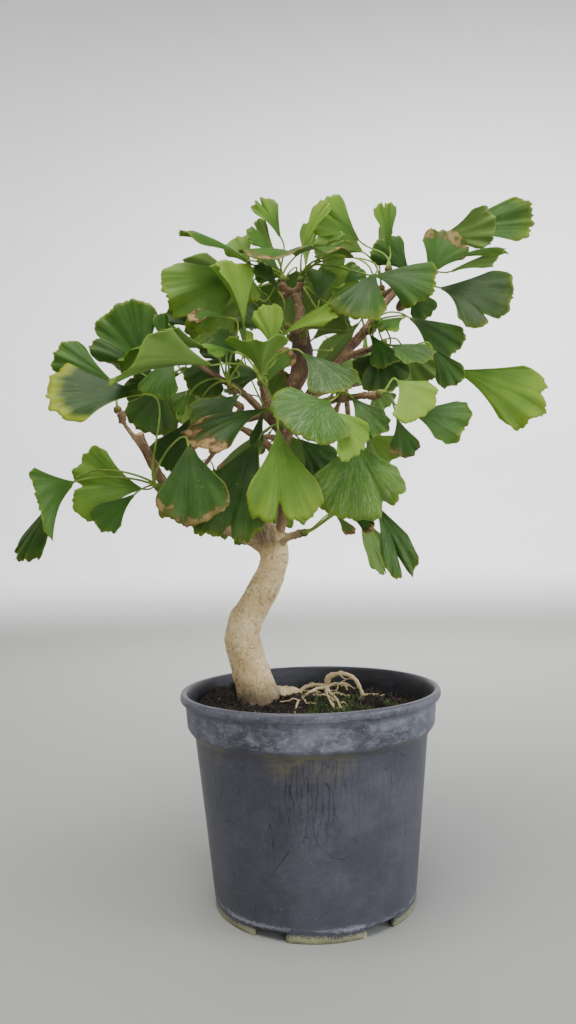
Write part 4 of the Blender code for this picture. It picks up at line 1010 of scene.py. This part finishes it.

# spray, where the stalk meets the blade, the middle of the far edge, the way the upper face
# looks, the half angle of the fan, and what differs from a plain leaf
# a low tone gives a leaf its own deep green and also paints shade on leaves that stand in shadow
frontLeaves = [
    ("left_low", (-147, -27, 271), (-164, -47, 262), (-1, -10, 1), 44,
     {"tone": 0.35, "skew": 0.33, "shoulder": -0.6, "ripple": 0.02}),
    ("left_low", (-151, -17, 270), (-189, -6, 223), (-3, -10, 2), 13, {"tone": 0.1}),
    ("left_low", (-107, -10, 267), (-153, -14, 271), (0, -10, 2), 47,
     {"tone": 0.6, "fold": 8, "notch": 0.15}),
    ("left_low", (-110, -22, 262), (-133, -26, 242), (-2, -10, 1), 32, {"tone": 0.35}),
    ("left_low", (-98, -47, 322), (-154, -58, 322), (1, -8, 6), 38,
     {"tone": 0.0, "edge": 1, "bow": 0.05}),
    ("left_low", (-69, -63, 287), (-64, -76, 239), (0, -10, 2), 36,
     {"tone": 0.15, "burn": 0.5, "shoulder": 0.2, "flare": 0.15}),
    ("left_tip", (-124, -20, 337), (-160, -17, 359), (0, -10, 2), 25, {"tone": 0.3}),
    ("left_upper", (-103, 7, 348), (-122, -1, 394), (-2, -9, 4), 35, {"tone": 0.3}),
    ("left_upper", (-113, 22, 352), (-142, 22, 379), (0, -9, 5), 30, {"tone": 0.2}),
    ("left_upper", (-90, 2, 362), (-94, -1, 385), (0, -10, 2), 18, {"tone": 0.35}),
    ("left_upper", (-82, -17, 354), (-97, -28, 323), (-2, -9, 3), 32, {"tone": 0.3}),
    ("left_upper", (-85, 13, 349), (-119, 18, 337), (0, -10, 2), 32, {"tone": 0.1}),
    ("left_upper", (-97, 13, 347), (-121, 18, 330), (0, -10, 2), 34, {"tone": 0.05}),
    ("left_inner", (-62, -36, 353), (-105, -71, 342), (1, 3, 9), 42, {"tone": 0.45}),
    ("left_inner", (-48, -12, 378), (-73, -20, 377), (-1, -6, 8), 32, {"tone": 0.4, "burn": 1}),
    ("left_inner", (-42, -17, 355), (-58, -20, 365), (0, -9, 4), 40, {"tone": 0.1}),
    ("left_inner", (-42, 0, 326), (-68, -6, 305), (0, -10, 2), 40, {"tone": 0.05}),
    ("left_inner", (-76, 4, 331), (-85, 4, 318), (0, -10, 2), 20, {"tone": 0.5}),
    ("left_inner", (-45, 13, 328), (-61, 20, 350), (0, -10, 2), 40, {"tone": 0.05}),
    ("front_whorl", (-56, -36, 330), (-106, -71, 313), (1, 3, 10), 42, {"tone": 0.6, "fold": 20}),
    ("front_whorl", (-37, -22, 370), (-55, -33, 408), (8, -5, 3), 36, {"tone": 0.9, "fold": 35}),
    ("front_whorl", (-43, -36, 349), (-60, -50, 348), (0, -7, 7), 36, {"tone": 0.5}),
    ("front_whorl", (-17, -28, 351), (-22, -36, 379), (0, -10, 1), 28, {"tone": 0.9}),
    ("front_whorl", (-12, -31, 361), (24, -41, 374), (-1, -7, 7), 22, {"tone": 0.95}),
    ("front_whorl", (-26, -25, 337), (-28, -60, 346), (0, 3, 10), 50, {"tone": 0.7, "fold": 18}),
    ("front_whorl", (-22, -14, 333), (-9, -6, 355), (-1, -9, 3), 34, {"tone": 0.55, "burn": 1}),
    ("front_whorl", (-23, -33, 313), (-71, -55, 289), (-1, -6, 8), 25, {"tone": 0.05, "burn": 0.9}),
    ("front_low", (30, -44, 292), (31, -63, 242), (0, -10, 4), 52,
     {"tone": 0.55, "streak": 1, "notch": 0.15, "at": 0.4, "shoulder": 0.24}),
    ("front_low", (-16, -47, 297), (-12, -60, 238), (0, -10, 2), 33,
     {"tone": 0.66, "edge": 0.5, "fold": 6, "notch": 0.2, "at": -0.12, "shoulder": 0.26}),
    ("front_low", (-29, -25, 295), (-57, -47, 232), (0, -10, 3), 30,
     {"tone": 0.1, "notch": 0.15, "at": 0.2}),
    ("front_low", (-26, -20, 314), (-32, -25, 290), (0, -10, 2), 14, {"tone": 0.1}),
    ("front_low", (-2, -6, 297), (17, -1, 277), (0, -10, 2), 40, {"tone": 0.1}),
    ("knob_front", (30, -14, 372), (20, -24, 390), (0, -6, 8), 26, {"tone": 0.5}),
    ("knob_front", (14, 7, 381), (33, 13, 396), (0, -10, 2), 34, {"tone": 0.15}),
    ("knob_left", (-14, -9, 396), (-28, -17, 412), (5, -7, 3), 30, {"tone": 0.1}),
    ("knob_left", (-22, 15, 377), (-43, 20, 392), (0, -10, 2), 36, {"tone": 0.1}),
    ("crown_left", (-33, 1, 416), (-87, -13, 386), (0, -10, -2), 34,
     {"tone": 0.58, "notch": 0.12, "at": 0.3}),
    ("crown_left", (-32, -4, 417), (-77, -22, 433), (0, -4, 10), 20, {"tone": 0.35}),
    ("crown_left", (-35, -1, 415), (-32, -6, 390), (0, -10, 0), 22, {"tone": 0.6}),
    ("crown_left", (-33, 7, 421), (-45, 10, 442), (0, -10, 2), 35, {"tone": 0.6}),
    ("crown_left", (-18, 2, 426), (-34, -6, 438), (1, -8, 5), 26, {"tone": 0.45}),
    ("crown_left", (-12, 7, 440), (-26, 2, 465), (2, -9, 3), 28, {"tone": 0.6, "notch": 0.2}),
    ("crown_left", (-1, 4, 425), (-3, -50, 406), (0, 1, 10), 55,
     {"tone": 0.4, "burn": 0.6, "ripple": 0.08}),
    ("crown_left", (-24, 20, 397), (-41, 24, 410), (0, -10, 2), 34, {"tone": 0.2}),
    ("crown_right", (5, 4, 431), (19, -4, 459), (-4, -8, 2), 17, {"tone": 0.9}),
    ("crown_right", (12, -1, 418), (29, -12, 435), (-5, -5, 7), 26, {"tone": 0.45}),
    ("crown_right", (16, 4, 419), (37, 7, 434), (0, -4, 10), 16, {"tone": 0.5}),
    ("crown_right", (50, -14, 403), (86, -33, 390), (-1, -10, 3), 36, {"tone": 0.22}),
    ("crown_right", (48, -25, 398), (30, -44, 366), (0, -8, 6), 38, {"tone": 0.12, "edge": 0.4}),
    ("crown_right", (47, -31, 397), (50, -39, 367), (9, -4, 1), 14, {"tone": 1}),
    ("crown_right", (31, -1, 403), (44, -1, 413), (0, -10, 2), 36, {"tone": 0.3}),
    ("knob_front", (13, -4, 391), (16, -1, 414), (0, -10, 2), 38, {"tone": 0.15}),
    ("crown_right", (22, 13, 396), (36, 15, 416), (0, -10, 2), 36, {"tone": 0.7}),
    ("right_crown", (43, 18, 440), (14, 10, 462), (0, -10, -1), 36, {"tone": 0.65, "notch": 0.15}),
    ("right_crown", (64, 13, 433), (60, 7, 462), (-1, -10, 0), 22, {"tone": 0.6, "notch": 0.15}),
    ("right_tip", (93, -6, 430), (128, -25, 431), (0, 10, 1), 27, {"tone": 0.3}),
    ("right_tip", (98, 13, 438), (162, 4, 445), (0, -10, 3), 24, {"tone": 0.25, "edge": 0.4}),
    ("right_tip", (105, 20, 423), (146, 20, 434), (0, -5, 9), 16, {"tone": 0.5}),
    ("right_upper", (84, 7, 400), (102, 13, 432), (0, -10, 2), 36, {"tone": 0.35, "burn": 0.6}),
    ("right_upper", (96, -1, 398), (137, -20, 378), (-1, -9, 4), 50,
     {"tone": 0.0, "notch": 0.2, "at": -0.4}),
    ("right_upper", (78, 20, 404), (58, 24, 426), (0, -10, 2), 36, {"tone": 0.2}),
    ("right_front", (74, -4, 377), (104, -14, 352), (-1, -10, 3), 34, {"tone": 0.12}),
    ("right_front", (66, -25, 372), (47, -39, 361), (0, -6, 8), 36, {"tone": 0.4, "edge": 0.5}),
    ("right_front", (45, -25, 360), (56, -33, 338), (0, -8, 5), 34, {"tone": 0.2}),
    ("right_front", (55, -36, 351), (74, -55, 335), (0, -5, 8), 40, {"tone": 0.2, "streak": 0.5}),
    ("right_front", (54, 2, 361), (35, 7, 343), (0, -10, 2), 38, {"tone": 0.05}),
    ("right_low", (104, 2, 343), (160, -13, 314), (-1, -9, 4), 27, {"tone": 0.68, "edge": 0.5}),
    ("right_low", (85, -12, 353), (99, -17, 327), (0, -10, 2), 26, {"tone": 0.15}),
    ("right_low", (74, 7, 338), (86, 10, 316), (0, -10, 2), 36, {"tone": 0.1}),
    ("front_whorl", (1, -36, 346), (25, -52, 318), (0, -7, 7), 38, {"tone": 0.15, "streak": 1}),
    ("front_right", (15, -60, 312), (-9, -79, 294), (-1, -9, 4), 74, {"tone": 0.4, "streak": 0.8}),
    ("front_right", (30, -41, 316), (44, -52, 291), (0, -10, 2), 30, {"tone": 0.3, "streak": 0.6}),
    ("front_right", (15, -74, 317), (35, -90, 297), (2, -9, 4), 38,
     {"tone": 0.75, "skew": -0.3, "shoulder": 0.05}),
    ("front_right", (28, -9, 312), (55, -12, 295), (0, -10, 2), 38, {"tone": 0.1}),
    ("front_far_right", (56, -60, 323), (72, -76, 303), (1, -10, 3), 48,
     {"tone": 0.85, "edge": 0.5, "skew": -0.25, "shoulder": 0.08}),
    ("front_far_right", (66, -33, 309), (101, -47, 296), (0, -9, 4), 38,
     {"tone": 0.3, "streak": 0.3}),
    ("front_far_right", (58, -39, 303), (62, -47, 279), (0, -10, 2), 32,
     {"tone": 0.2, "burn": 0.6}),
    ("low_twig", (44, -25, 252), (62, -36, 206), (2, -10, 2), 21,
     {"tone": 0.3, "streak": 0.7, "notch": 0.3, "shoulder": 0.35}),
    ("low_twig", (30, -17, 245), (43, -22, 236), (0, -10, 2), 22, {"tone": 0.1, "burn": 1}),
    ("left_inner", (-77, 10, 315), (-93, 14, 281), (0, -10, 2), 40, {"tone": 0.04}),
    ("left_upper", (-94, 12, 340), (-108, 12, 306), (0, -10, 2), 42, {"tone": 0.06}),
    ("left_inner", (-58, 8, 361), (-77, 6, 336), (0, -10, 2), 42, {"tone": 0.1}),
    ("front_whorl", (-26, 4, 345), (-51, 4, 345), (0, -10, 3), 38, {"tone": 0.15}),
    ("left_upper", (-72, 12, 378), (-87, 12, 397), (0, -10, 2), 46, {"tone": 0.1}),
    ("crown_left", (-9, 10, 414), (-29, 8, 423), (0, -10, 2), 40, {"tone": 0.3}),
    ("right_front", (48, -2, 355), (57, -4, 324), (0, -10, 2), 44, {"tone": 0.05}),
    ("right_upper", (76, 8, 404), (90, 8, 386), (0, -10, 2), 38, {"tone": 0.15}),
]


def leafFinish():
    made = Finish("ginkgoLeaf")
    look = leafLook
    where = made.objectPlace()
    spread = made.node("ShaderNodeUVMap", {"uv_map": "leafUv"})
    across, out = made.axis(spread, "X") * 2.0 - 1.0, made.axis(spread, "Y")
    tone, edge, streak, burn = [made.value(name) for name in ("tone", "edge", "streak", "burn")]
    under, kind = made.value("under"), made.value("part")
    wander = made.cloud(where, 90.0, 2.0)
    fan = made.node("ShaderNodeCombineXYZ", None, {0: across * 9.0, 1: out * 0.9, 2: tone * 37.0})
    bands = made.cloud(fan, 1.6, 3.0, 0.6)
    threads = made.cloud(made.stretched(fan, (3.4, 0.8, 1.0)), 2.6, 3.0, 0.65)
    wobble = across + (wander - 0.5) * 0.03
    coarse = 1 - (wobble * 42.0).sine().size()
    veins = 1 - (wobble * 84.0).sine().size()
    veins = (coarse.rise(0.55, 1.0)).most(veins.rise(0.5, 1.0) * out.rise(0.35, 0.6))
    # the leaf's tone sets its own green and paints shade on leaves that stand in shadow
    shown = tone + (bands - 0.5) * 0.34 + (wander - 0.5) * 0.3 + (out - 0.6) * 0.14
    colour = made.ramp(shown, [(0.0, look["deep"]), (0.45, look["middle"]), (0.95, look["young"])])
    colour = made.mix(threads.rise(0.45, 0.75) * 0.12, colour, look["young"])
    colour = made.mix(threads.rise(0.2, 0.45) * -0.3 + 0.3, colour, look["deep"])
    residue = made.cloud(made.stretched(fan, (1.2, 2.2, 1.0)), 3.6, 5.0, 0.75, 0.9)
    veil = (threads.rise(0.50, 0.68) * 0.4).most(residue.rise(0.52, 0.62)) * out.rise(0.08, 0.3)
    colour = made.mix(veil * streak * 0.6, colour, look["veil"])
    colour = made.mix(veins * 0.06 * out.rise(0.05, 0.3), colour, look["margin"])
    colour = made.mix((1 - out.rise(0.0, 0.20)) * 0.4, colour, look["stalkGreen"])
    ragged = out + (wander - 0.5) * 0.10
    rim = ragged.rise(0.95, 1.0).most(across.size().rise(0.955, 1.0) * 0.6)
    rim = rim.most(ragged.rise(0.80, 0.97) * edge * 0.8)
    colour = made.mix(rim * (0.30 + edge * 0.5).least(0.8), colour, look["margin"])
    spots = made.cloud(where, 200.0, 3.0, 0.6)
    worn = out + (spots - 0.5) * 0.55 + (wander - 0.5) * 0.5 + burn * 0.22 - 0.22
    dry = worn.rise(0.84, 0.90) * burn.least(1.0)
    colour = made.mix(worn.rise(0.76, 0.84) * burn.least(1.0), colour, look["scorch"])
    colour = made.mix(dry * spots.rise(0.35, 0.6), colour, look["dry"])
    flecks = made.cloud(where, 480.0, 1.0).rise(0.70, 0.76) * wander.rise(0.45, 0.6)
    colour = made.mix(flecks * 0.45, colour, look["margin"])
    colour = made.mix(under * 0.55 * (1 - dry), colour, look["under"])
    isStalk = kind.rise(0.4, 0.6)
    stalkColour = made.mix(wander.rise(0.3, 0.7), look["stalkGreen"], look["stalkPale"])
    colour = made.mix(isStalk, colour, stalkColour)
    bud = made.mix(spots.rise(0.4, 0.6), look["budBrown"], look["stalkGreen"])
    colour = made.mix(kind.rise(1.4, 1.6), colour, bud)
    relief = (veins * 0.45 + bands * 0.5 + threads * 0.2) * (1 - isStalk)
    shell = made.plain({
        "Base Color": colour, "Roughness": 0.47 + under * 0.14 + (wander - 0.5) * 0.2 + dry * 0.2,
        "Specular IOR Level": 0.14, "Normal": made.bump(relief, 0.0005, 0.28)})
    glow = made.node("ShaderNodeBsdfTranslucent", None, {"Color": look["glow"]})
    share = 0.26 * (1 - isStalk) * (1 - dry) * (0.4 + 0.9 * tone)
    return made.surface(made.node("ShaderNodeMixShader", None, {0: share, 1: shell, 2: glow}))


def leafList():
    # every leaf: the front as the rows give it, the back as its answer with some play
    look = leafLook
    leaves = []
    for i, (spray, joint, tip, face, spread, special) in enumerate(frontLeaves):
        leaf = dict(look["plain"], **special)
        leaf.update(spray=spray, joint=np.array(joint, float), tip=np.array(tip, float),
                    face=np.array(face, float), spread=spread, seed=i + 1)
        leaves.append(leaf)
    draw = np.random.RandomState(look["backSeed"])
    for leaf in list(leaves):
        play = draw.uniform(-1, 1, 9)
        back = "back_" + leaf["spray"]
        tooFar = abs(leaf["tip"][0]) > look["backReach"]
        skipped = leaf["seed"] % 4 == 0 or leaf["seed"] > look["backAnswers"]
        if back not in sprays or tooFar or skipped:
            continue
        depth, mirror = woodLook["backDepth"], woodLook["mirrorY"]
        answer = dict(leaf, spray=back, seed=leaf["seed"] + 100)
        flip = np.array((1, -depth, 1))
        shift = np.array((0, mirror * (1 + depth), 0))
        answer["joint"] = leaf["joint"] * flip + shift + play[:3] * 6
        answer["tip"] = leaf["tip"] * flip + shift + play[3:6] * 8
        turn = math.radians(look["backTurn"]) * play[6]
        x, y, z = leaf["face"] * (1, -1, 1)
        answer["face"] = np.array((x * math.cos(turn) - y * math.sin(turn),
                                   x * math.sin(turn) + y * math.cos(turn), z + play[7] * 4))
        answer["tone"] = min(0.9, max(0.05, leaf["tone"] + play[8] * 0.25))
        leaves.append(answer)
    return leaves


def leafFrame(leaf):
    # along the blade, across it and off its upper face, with the length of the blade
    along = leaf["tip"] - leaf["joint"]
    length = np.linalg.norm(along)
    along = along / length
    face = unit(leaf["face"] - along * np.dot(leaf["face"], along))
    return along, np.cross(face, along), face, length


def plainEdge(u, leaf):
    # the far edge as drooping shoulders and a notch, from one side (-1) to the other (1)
    reach = 1 - leaf["shoulder"] * np.abs(u) ** 2.6
    return reach * (1 - leaf["notch"] * np.exp(-((u - leaf["at"]) / 0.075) ** 2))


def bladeEdge(u, leaf):
    # reach of the solid's far edge, as a share of the length
    turn = np.random.RandomState(leaf["seed"]).rand(4) * 2 * math.pi
    crimp = 0.022 * (1 + np.sin(19 * u + turn[0])) + 0.012 * np.sin(43 * u + turn[1])
    crimped = 1 - crimp - 0.018 * np.sin(9 * u + turn[2])
    return plainEdge(u, leaf) * crimped * (1 + leaf["skew"] * u)


def bladePoints(u, v, leaf, axes):
    # points of the blade, u across (-1 to 1) and v along (0 to 1)
    along, across, face, length = axes
    turn = np.random.RandomState(leaf["seed"] + 500).rand(3) * 2 * math.pi
    angle = u * math.radians(leaf["spread"]) * (1 - leaf["flare"] + leaf["flare"] * v)
    reach = v * length * bladeEdge(u, leaf)
    eased = np.clip(np.abs(u) / 0.45, 0, 1)
    tilt = math.radians(leaf["fold"]) * eased * eased * (3 - 2 * eased)
    side = np.sin(angle) * reach + u * leafLook["stalk"] * (1 - v)
    wave = 0.6 * np.sin(5.2 * u + turn[0]) + 0.4 * np.sin(9.5 * u + turn[1])
    wave = wave - 0.6 * math.sin(turn[0]) - 0.4 * math.sin(turn[1])
    rise = np.abs(side) * np.sin(tilt) + 4 * leaf["bow"] * length * v * (1 - v)
    rise = rise + leaf["ripple"] * length * v ** 2 * wave
    return (leaf["joint"] + np.outer(np.cos(angle) * reach, along)
            + np.outer(side * np.cos(tilt), across) + np.outer(rise, face))


def bladeNormals(u, v, leaf, axes):
    v = np.maximum(v, 0.15)
    right = bladePoints(np.minimum(u + 0.02, 1), v, leaf, axes)
    left = bladePoints(np.maximum(u - 0.02, -1), v, leaf, axes)
    nearer = bladePoints(u, v - 0.05, leaf, axes)
    normals = np.cross(right - left, bladePoints(u, v, leaf, axes) - nearer)
    normals = normals * np.sign(normals @ axes[2])[:, None]
    return normals / np.linalg.norm(normals, axis=1)[:, None]


def marginShare(u, leaf):
    # how far the finished margin reaches against the solid one: soft lobes, frills and small teeth
    start = 7.3 * leaf["seed"]
    lobes, frills, teeth = [np.array([noiseAt(x * pace + start, row, 0.0) for x in u])
                            for pace, row in ((2.3, 0.3), (6.5, 5.3), (19.0, 9.1))]
    corner = 1 - 0.16 * np.clip((np.abs(u) - 0.70) / 0.30, 0, 1) ** 2
    margin = plainEdge(u, leaf) * (1 + leaf["skew"] * u) * corner
    return margin * (0.985 + 0.055 * lobes + 0.05 * frills + 0.03 * teeth) / bladeEdge(u, leaf)


def bladeCurl(u, v, leaf):
    # how far the corners and the far edge bend off the plain blade, as a share of the length
    left, right, tip, turn = np.random.RandomState(leaf["seed"] + 900).uniform(-1, 1, 4)
    corner = np.where(u < 0, left, right) * np.clip((np.abs(u) - 0.35) / 0.65, 0, 1) ** 2
    frill = 0.022 * np.sin(13 * u + 3 * turn) * v ** 4
    return 0.105 * corner * v ** 1.5 + 0.06 * tip * v ** 3 * (1 - u * u) + frill


def cornerTree(node):
    # the corners of a solid, to be searched
    corners = localPoints(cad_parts[node].data)
    tree = kdtree.KDTree(len(corners))
    for i, corner in enumerate(corners):
        tree.insert(corner, i)
    tree.balance()
    return tree


def settled(leaf, tree):
    # the leaf where its solid stands: as drawn, or moved a little to be clear of the others
    look = leafLook
    moves = [np.zeros(3)]
    for size in look["moveSizes"]:
        moves += [size * np.array(way, float) for way in look["moveWays"]]
    u, v = np.array([-1.0, leaf["at"], 1.0]), np.ones(3)
    for move in moves:
        tried = dict(leaf, joint=leaf["joint"] + move, tip=leaf["tip"] + move * 1.2)
        axes = leafFrame(tried)
        corners = bladePoints(u, v, tried, axes)
        corners = corners + bladeNormals(u, v, tried, axes) * look["blade"] / 2
        if max(tree.find(corner)[2] for corner in corners) < look["near"]:
            return tried
    return None


def stalkCurve(leaf, axes, steps):
    # from inside the bud to a short straight neck before the blade
    look = leafLook
    bud, way = sprays[leaf["spray"]]
    along = axes[0]
    side = unit(np.cross(way, sideways))
    turn = 2.4 * leaf["seed"]
    root = bud + way * look["budLength"] * (0.3 + 0.05 * (leaf["seed"] % 7))
    root = root + 0.9 * (math.cos(turn) * side + math.sin(turn) * np.cross(way, side))
    reach = np.linalg.norm(leaf["joint"] - root)
    neck = leaf["joint"] - along * min(look["neck"], reach * 0.25)
    start = root + way * reach * 0.35
    end = neck - along * reach * 0.3
    t = np.linspace(0, 1, steps)[:, None]
    curve = ((1 - t) ** 3 * root + 3 * (1 - t) ** 2 * t * start
             + 3 * (1 - t) * t ** 2 * end + t ** 3 * neck)
    return np.vstack([curve, leaf["joint"], leaf["joint"] + along * 1.5])


class LeafMesh:
    # gathers the blades, stalks and bud of one spray
    def __init__(self):
        self.points, self.faces, self.spread = [], [], []
        self.values = {name: [] for name in ("tone", "edge", "streak", "burn", "under", "part")}

    def add(self, points, faces, spread, leaf, under, part):
        start = sum(len(p) for p in self.points)
        self.points.append(points)
        self.faces += [tuple(start + i for i in face) for face in faces]
        self.spread.append(spread)
        for name in ("tone", "edge", "streak", "burn"):
            self.values[name].append(np.full(len(points), leaf[name]))
        self.values["under"].append(under)
        self.values["part"].append(np.full(len(points), float(part)))


def addBlade(mesh, leaf, axes):
    look = leafLook
    across = look["across"] if axes[3] > look["largeBlade"] else 2 * look["across"] // 3
    columns = across + 1
    rows = np.array(look["rows"], float)
    u, v = [grid.ravel() for grid in np.meshgrid(np.linspace(-1, 1, columns), rows)]
    shown = v * marginShare(u, leaf)
    middle = bladePoints(u, shown, leaf, axes)
    middle = middle + np.outer(bladeCurl(u, v, leaf) * axes[3], axes[2])
    rim = np.clip((v - 0.9) / 0.1, 0, 1) * 0.5 + np.clip((np.abs(u) - 0.94) / 0.06, 0, 1) * 0.3
    rib = 0.25 * np.exp(-(v / 0.12) ** 2)
    lift = bladeNormals(u, v, leaf, axes) * (look["halfBlade"] * (1 - rim * 0.7) + rib)[:, None]
    count = len(u)
    faces = []
    for i in range(len(rows) - 1):
        for k in range(columns - 1):
            a = i * columns + k
            faces.append((a, a + 1, a + columns + 1, a + columns))
            faces.append((count + a, count + a + columns, count + a + columns + 1, count + a + 1))
    border = list(range(columns))
    border += [i * columns + columns - 1 for i in range(1, len(rows))]
    border += [(len(rows) - 1) * columns + k for k in range(columns - 2, -1, -1)]
    border += [i * columns for i in range(len(rows) - 2, 0, -1)]
    for a, b in zip(border, border[1:] + border[:1]):
        faces.append((b, a, count + a, count + b))
    spread = np.stack([0.5 + 0.5 * u, v], axis=1)
    under = np.r_[np.zeros(count), np.ones(count)]
    mesh.add(np.vstack([middle + lift, middle - lift]), faces, np.vstack([spread, spread]),
             leaf, under, 0)


def addStalk(mesh, leaf, axes):
    curve = stalkCurve(leaf, axes, 13)
    size = np.interp(np.linspace(0, 1, len(curve)), [0, 0.12, 0.6, 0.93, 1],
                     [1.15, 0.8, 0.6, 0.66, 0.35])
    sides = 7
    points, faces = tubes([(curve, size, sides)])
    spread = np.stack([np.tile(np.arange(sides) / sides, len(curve)),
                       np.repeat(np.linspace(0, 1, len(curve)), sides)], axis=1)
    mesh.add(points, faces, spread, leaf, np.zeros(len(points)), 1)


def addBud(mesh, name, leaf):
    bud, way = sprays[name]
    share = np.linspace(0, 1, 15)
    centre = bud + np.outer(0.3 + share * (leafLook["budLength"] - 0.2), way)
    size = np.interp(share, [0, 0.4, 0.8, 1], [2.35, 2.75, 2.1, 0.9])
    size = size + 0.16 * np.abs(np.sin(share * 14))
    points, faces = tubes([(centre, size, 12)])
    mesh.add(points, faces, np.zeros((len(points), 2)), leaf, np.zeros(len(points)), 2)


def makeLeaves():
    finish = leafFinish()
    leaves = leafList()
    count = 0
    for name in dict.fromkeys(leaf["spray"] for leaf in leaves):
        node = "spray_" + name
        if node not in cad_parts:
            continue
        tree = cornerTree(node)
        mesh = LeafMesh()
        for leaf in leaves:
            found = settled(leaf, tree) if leaf["spray"] == name else None
            if found:
                axes = leafFrame(found)
                addBlade(mesh, found, axes)
                addStalk(mesh, found, axes)
                last = found
                count += 1
        addBud(mesh, name, last)
        piece = meshPiece("leaves_" + name, np.vstack(mesh.points), mesh.faces, finish)
        spread = np.vstack(mesh.spread)
        corners = np.empty(len(piece.data.loops), int)
        piece.data.loops.foreach_get("vertex_index", corners)
        layer = piece.data.uv_layers.new(name="leafUv")
        layer.data.foreach_set("uv", spread[corners].astype(np.float32).ravel())
        for key, values in mesh.values.items():
            pointValues(piece, key, np.hstack(values))
        standsFor(piece, "leaf", node)
    print("leaves:", count)


makeLeaves()


viewLook = {
    "place": (-11.4, -513.0, 228.0), "tilt": 2.42, "roll": -1.53, "lens": 27.035,
    "floor": (0.255, 0.26, 0.245), "wall": (0.80, 0.80, 0.81), "grain": (0.35, 0.35, 0.34),
    "floorRadius": 1.5, "wallHeight": 2.6,
    # name: place, aim, size, power and colour of each light
    "lights": {"overhead": ((-0.15, -0.42, 1.55), (0, 0, 0.26), 1.0, 34.0, (1.0, 0.98, 0.93)),
               "front": ((0.40, -1.30, 0.42), (0, 0, 0.20), 0.9, 9.0, (0.98, 0.99, 1.0)),
               "right": ((1.20, -0.45, 0.55), (0, 0, 0.18), 0.7, 13.0, (0.84, 0.91, 1.0)),
               "wall": ((0.3, 0.75, 1.15), (0.25, 2.0, 0.25), 0.8, 36.0, (1.0, 1.0, 1.0))},
    "sky": (0.88, 0.92, 0.96), "skyStrength": 0.25,
}


def makeStage():
    # a pale floor that rises into a round pale wall, so that no edge shows from any side
    look = viewLook
    floor = Finish("paleStudio")
    where = floor.objectPlace()
    grain = floor.cloud(where, 9.0, 3.0)
    height = floor.axis(where, "Z")
    colour = floor.mix(height.rise(0.0, 0.16), look["floor"], look["wall"])
    colour = floor.mix(grain * 0.10, colour, look["grain"])
    finish = floor.surface(floor.plain({"Base Color": colour, "Roughness": 0.75}))
    bend = 0.5
    section = [(0.0, 0.0), (0.3, 0.0), (0.7, 0.0), (look["floorRadius"], 0.0)]
    for k in range(1, 13):
        a = math.radians(90 * k / 12)
        section.append((look["floorRadius"] + bend * math.sin(a), bend * (1 - math.cos(a))))
    section.append((look["floorRadius"] + bend, look["wallHeight"]))
    stage = turnedShell("studio", [(r / mm, z / mm - 0.05) for r, z in section], 96, finish)


def makeLights():
    look = viewLook
    for name, (spot, aim, size, power, colour) in look["lights"].items():
        light = bpy.data.lights.new(name, "AREA")
        light.shape = "DISK"
        light.size = size
        light.energy = power
        light.color = colour
        lamp = bpy.data.objects.new(name, light)
        lamp.location = spot
        lamp.rotation_mode = "QUATERNION"
        lamp.rotation_quaternion = (Vector(aim) - Vector(spot)).to_track_quat("-Z", "Y")
        bpy.context.scene.collection.objects.link(lamp)
    world = bpy.data.worlds.new("softSky")
    world.use_nodes = True
    sky = world.node_tree.nodes["Background"]
    sky.inputs["Color"].default_value = (*look["sky"], 1.0)
    sky.inputs["Strength"].default_value = look["skyStrength"]
    bpy.context.scene.world = world


def makeCamera():
    look = viewLook
    lens = bpy.data.cameras.new("photoView")
    lens.sensor_fit = "VERTICAL"
    lens.sensor_height = 36.0
    lens.lens = look["lens"]
    lens.clip_start = 0.01
    camera = bpy.data.objects.new("photoView", lens)
    turn = (Matrix.Rotation(math.radians(90 + look["tilt"]), 4, "X")
            @ Matrix.Rotation(math.radians(look["roll"]), 4, "Z"))
    camera.matrix_world = Matrix.Translation(place(look["place"])) @ turn
    bpy.context.scene.collection.objects.link(camera)
    bpy.context.scene.camera = camera


makeStage()
makeLights()
makeCamera()
print("studio: floor, lights and camera set")
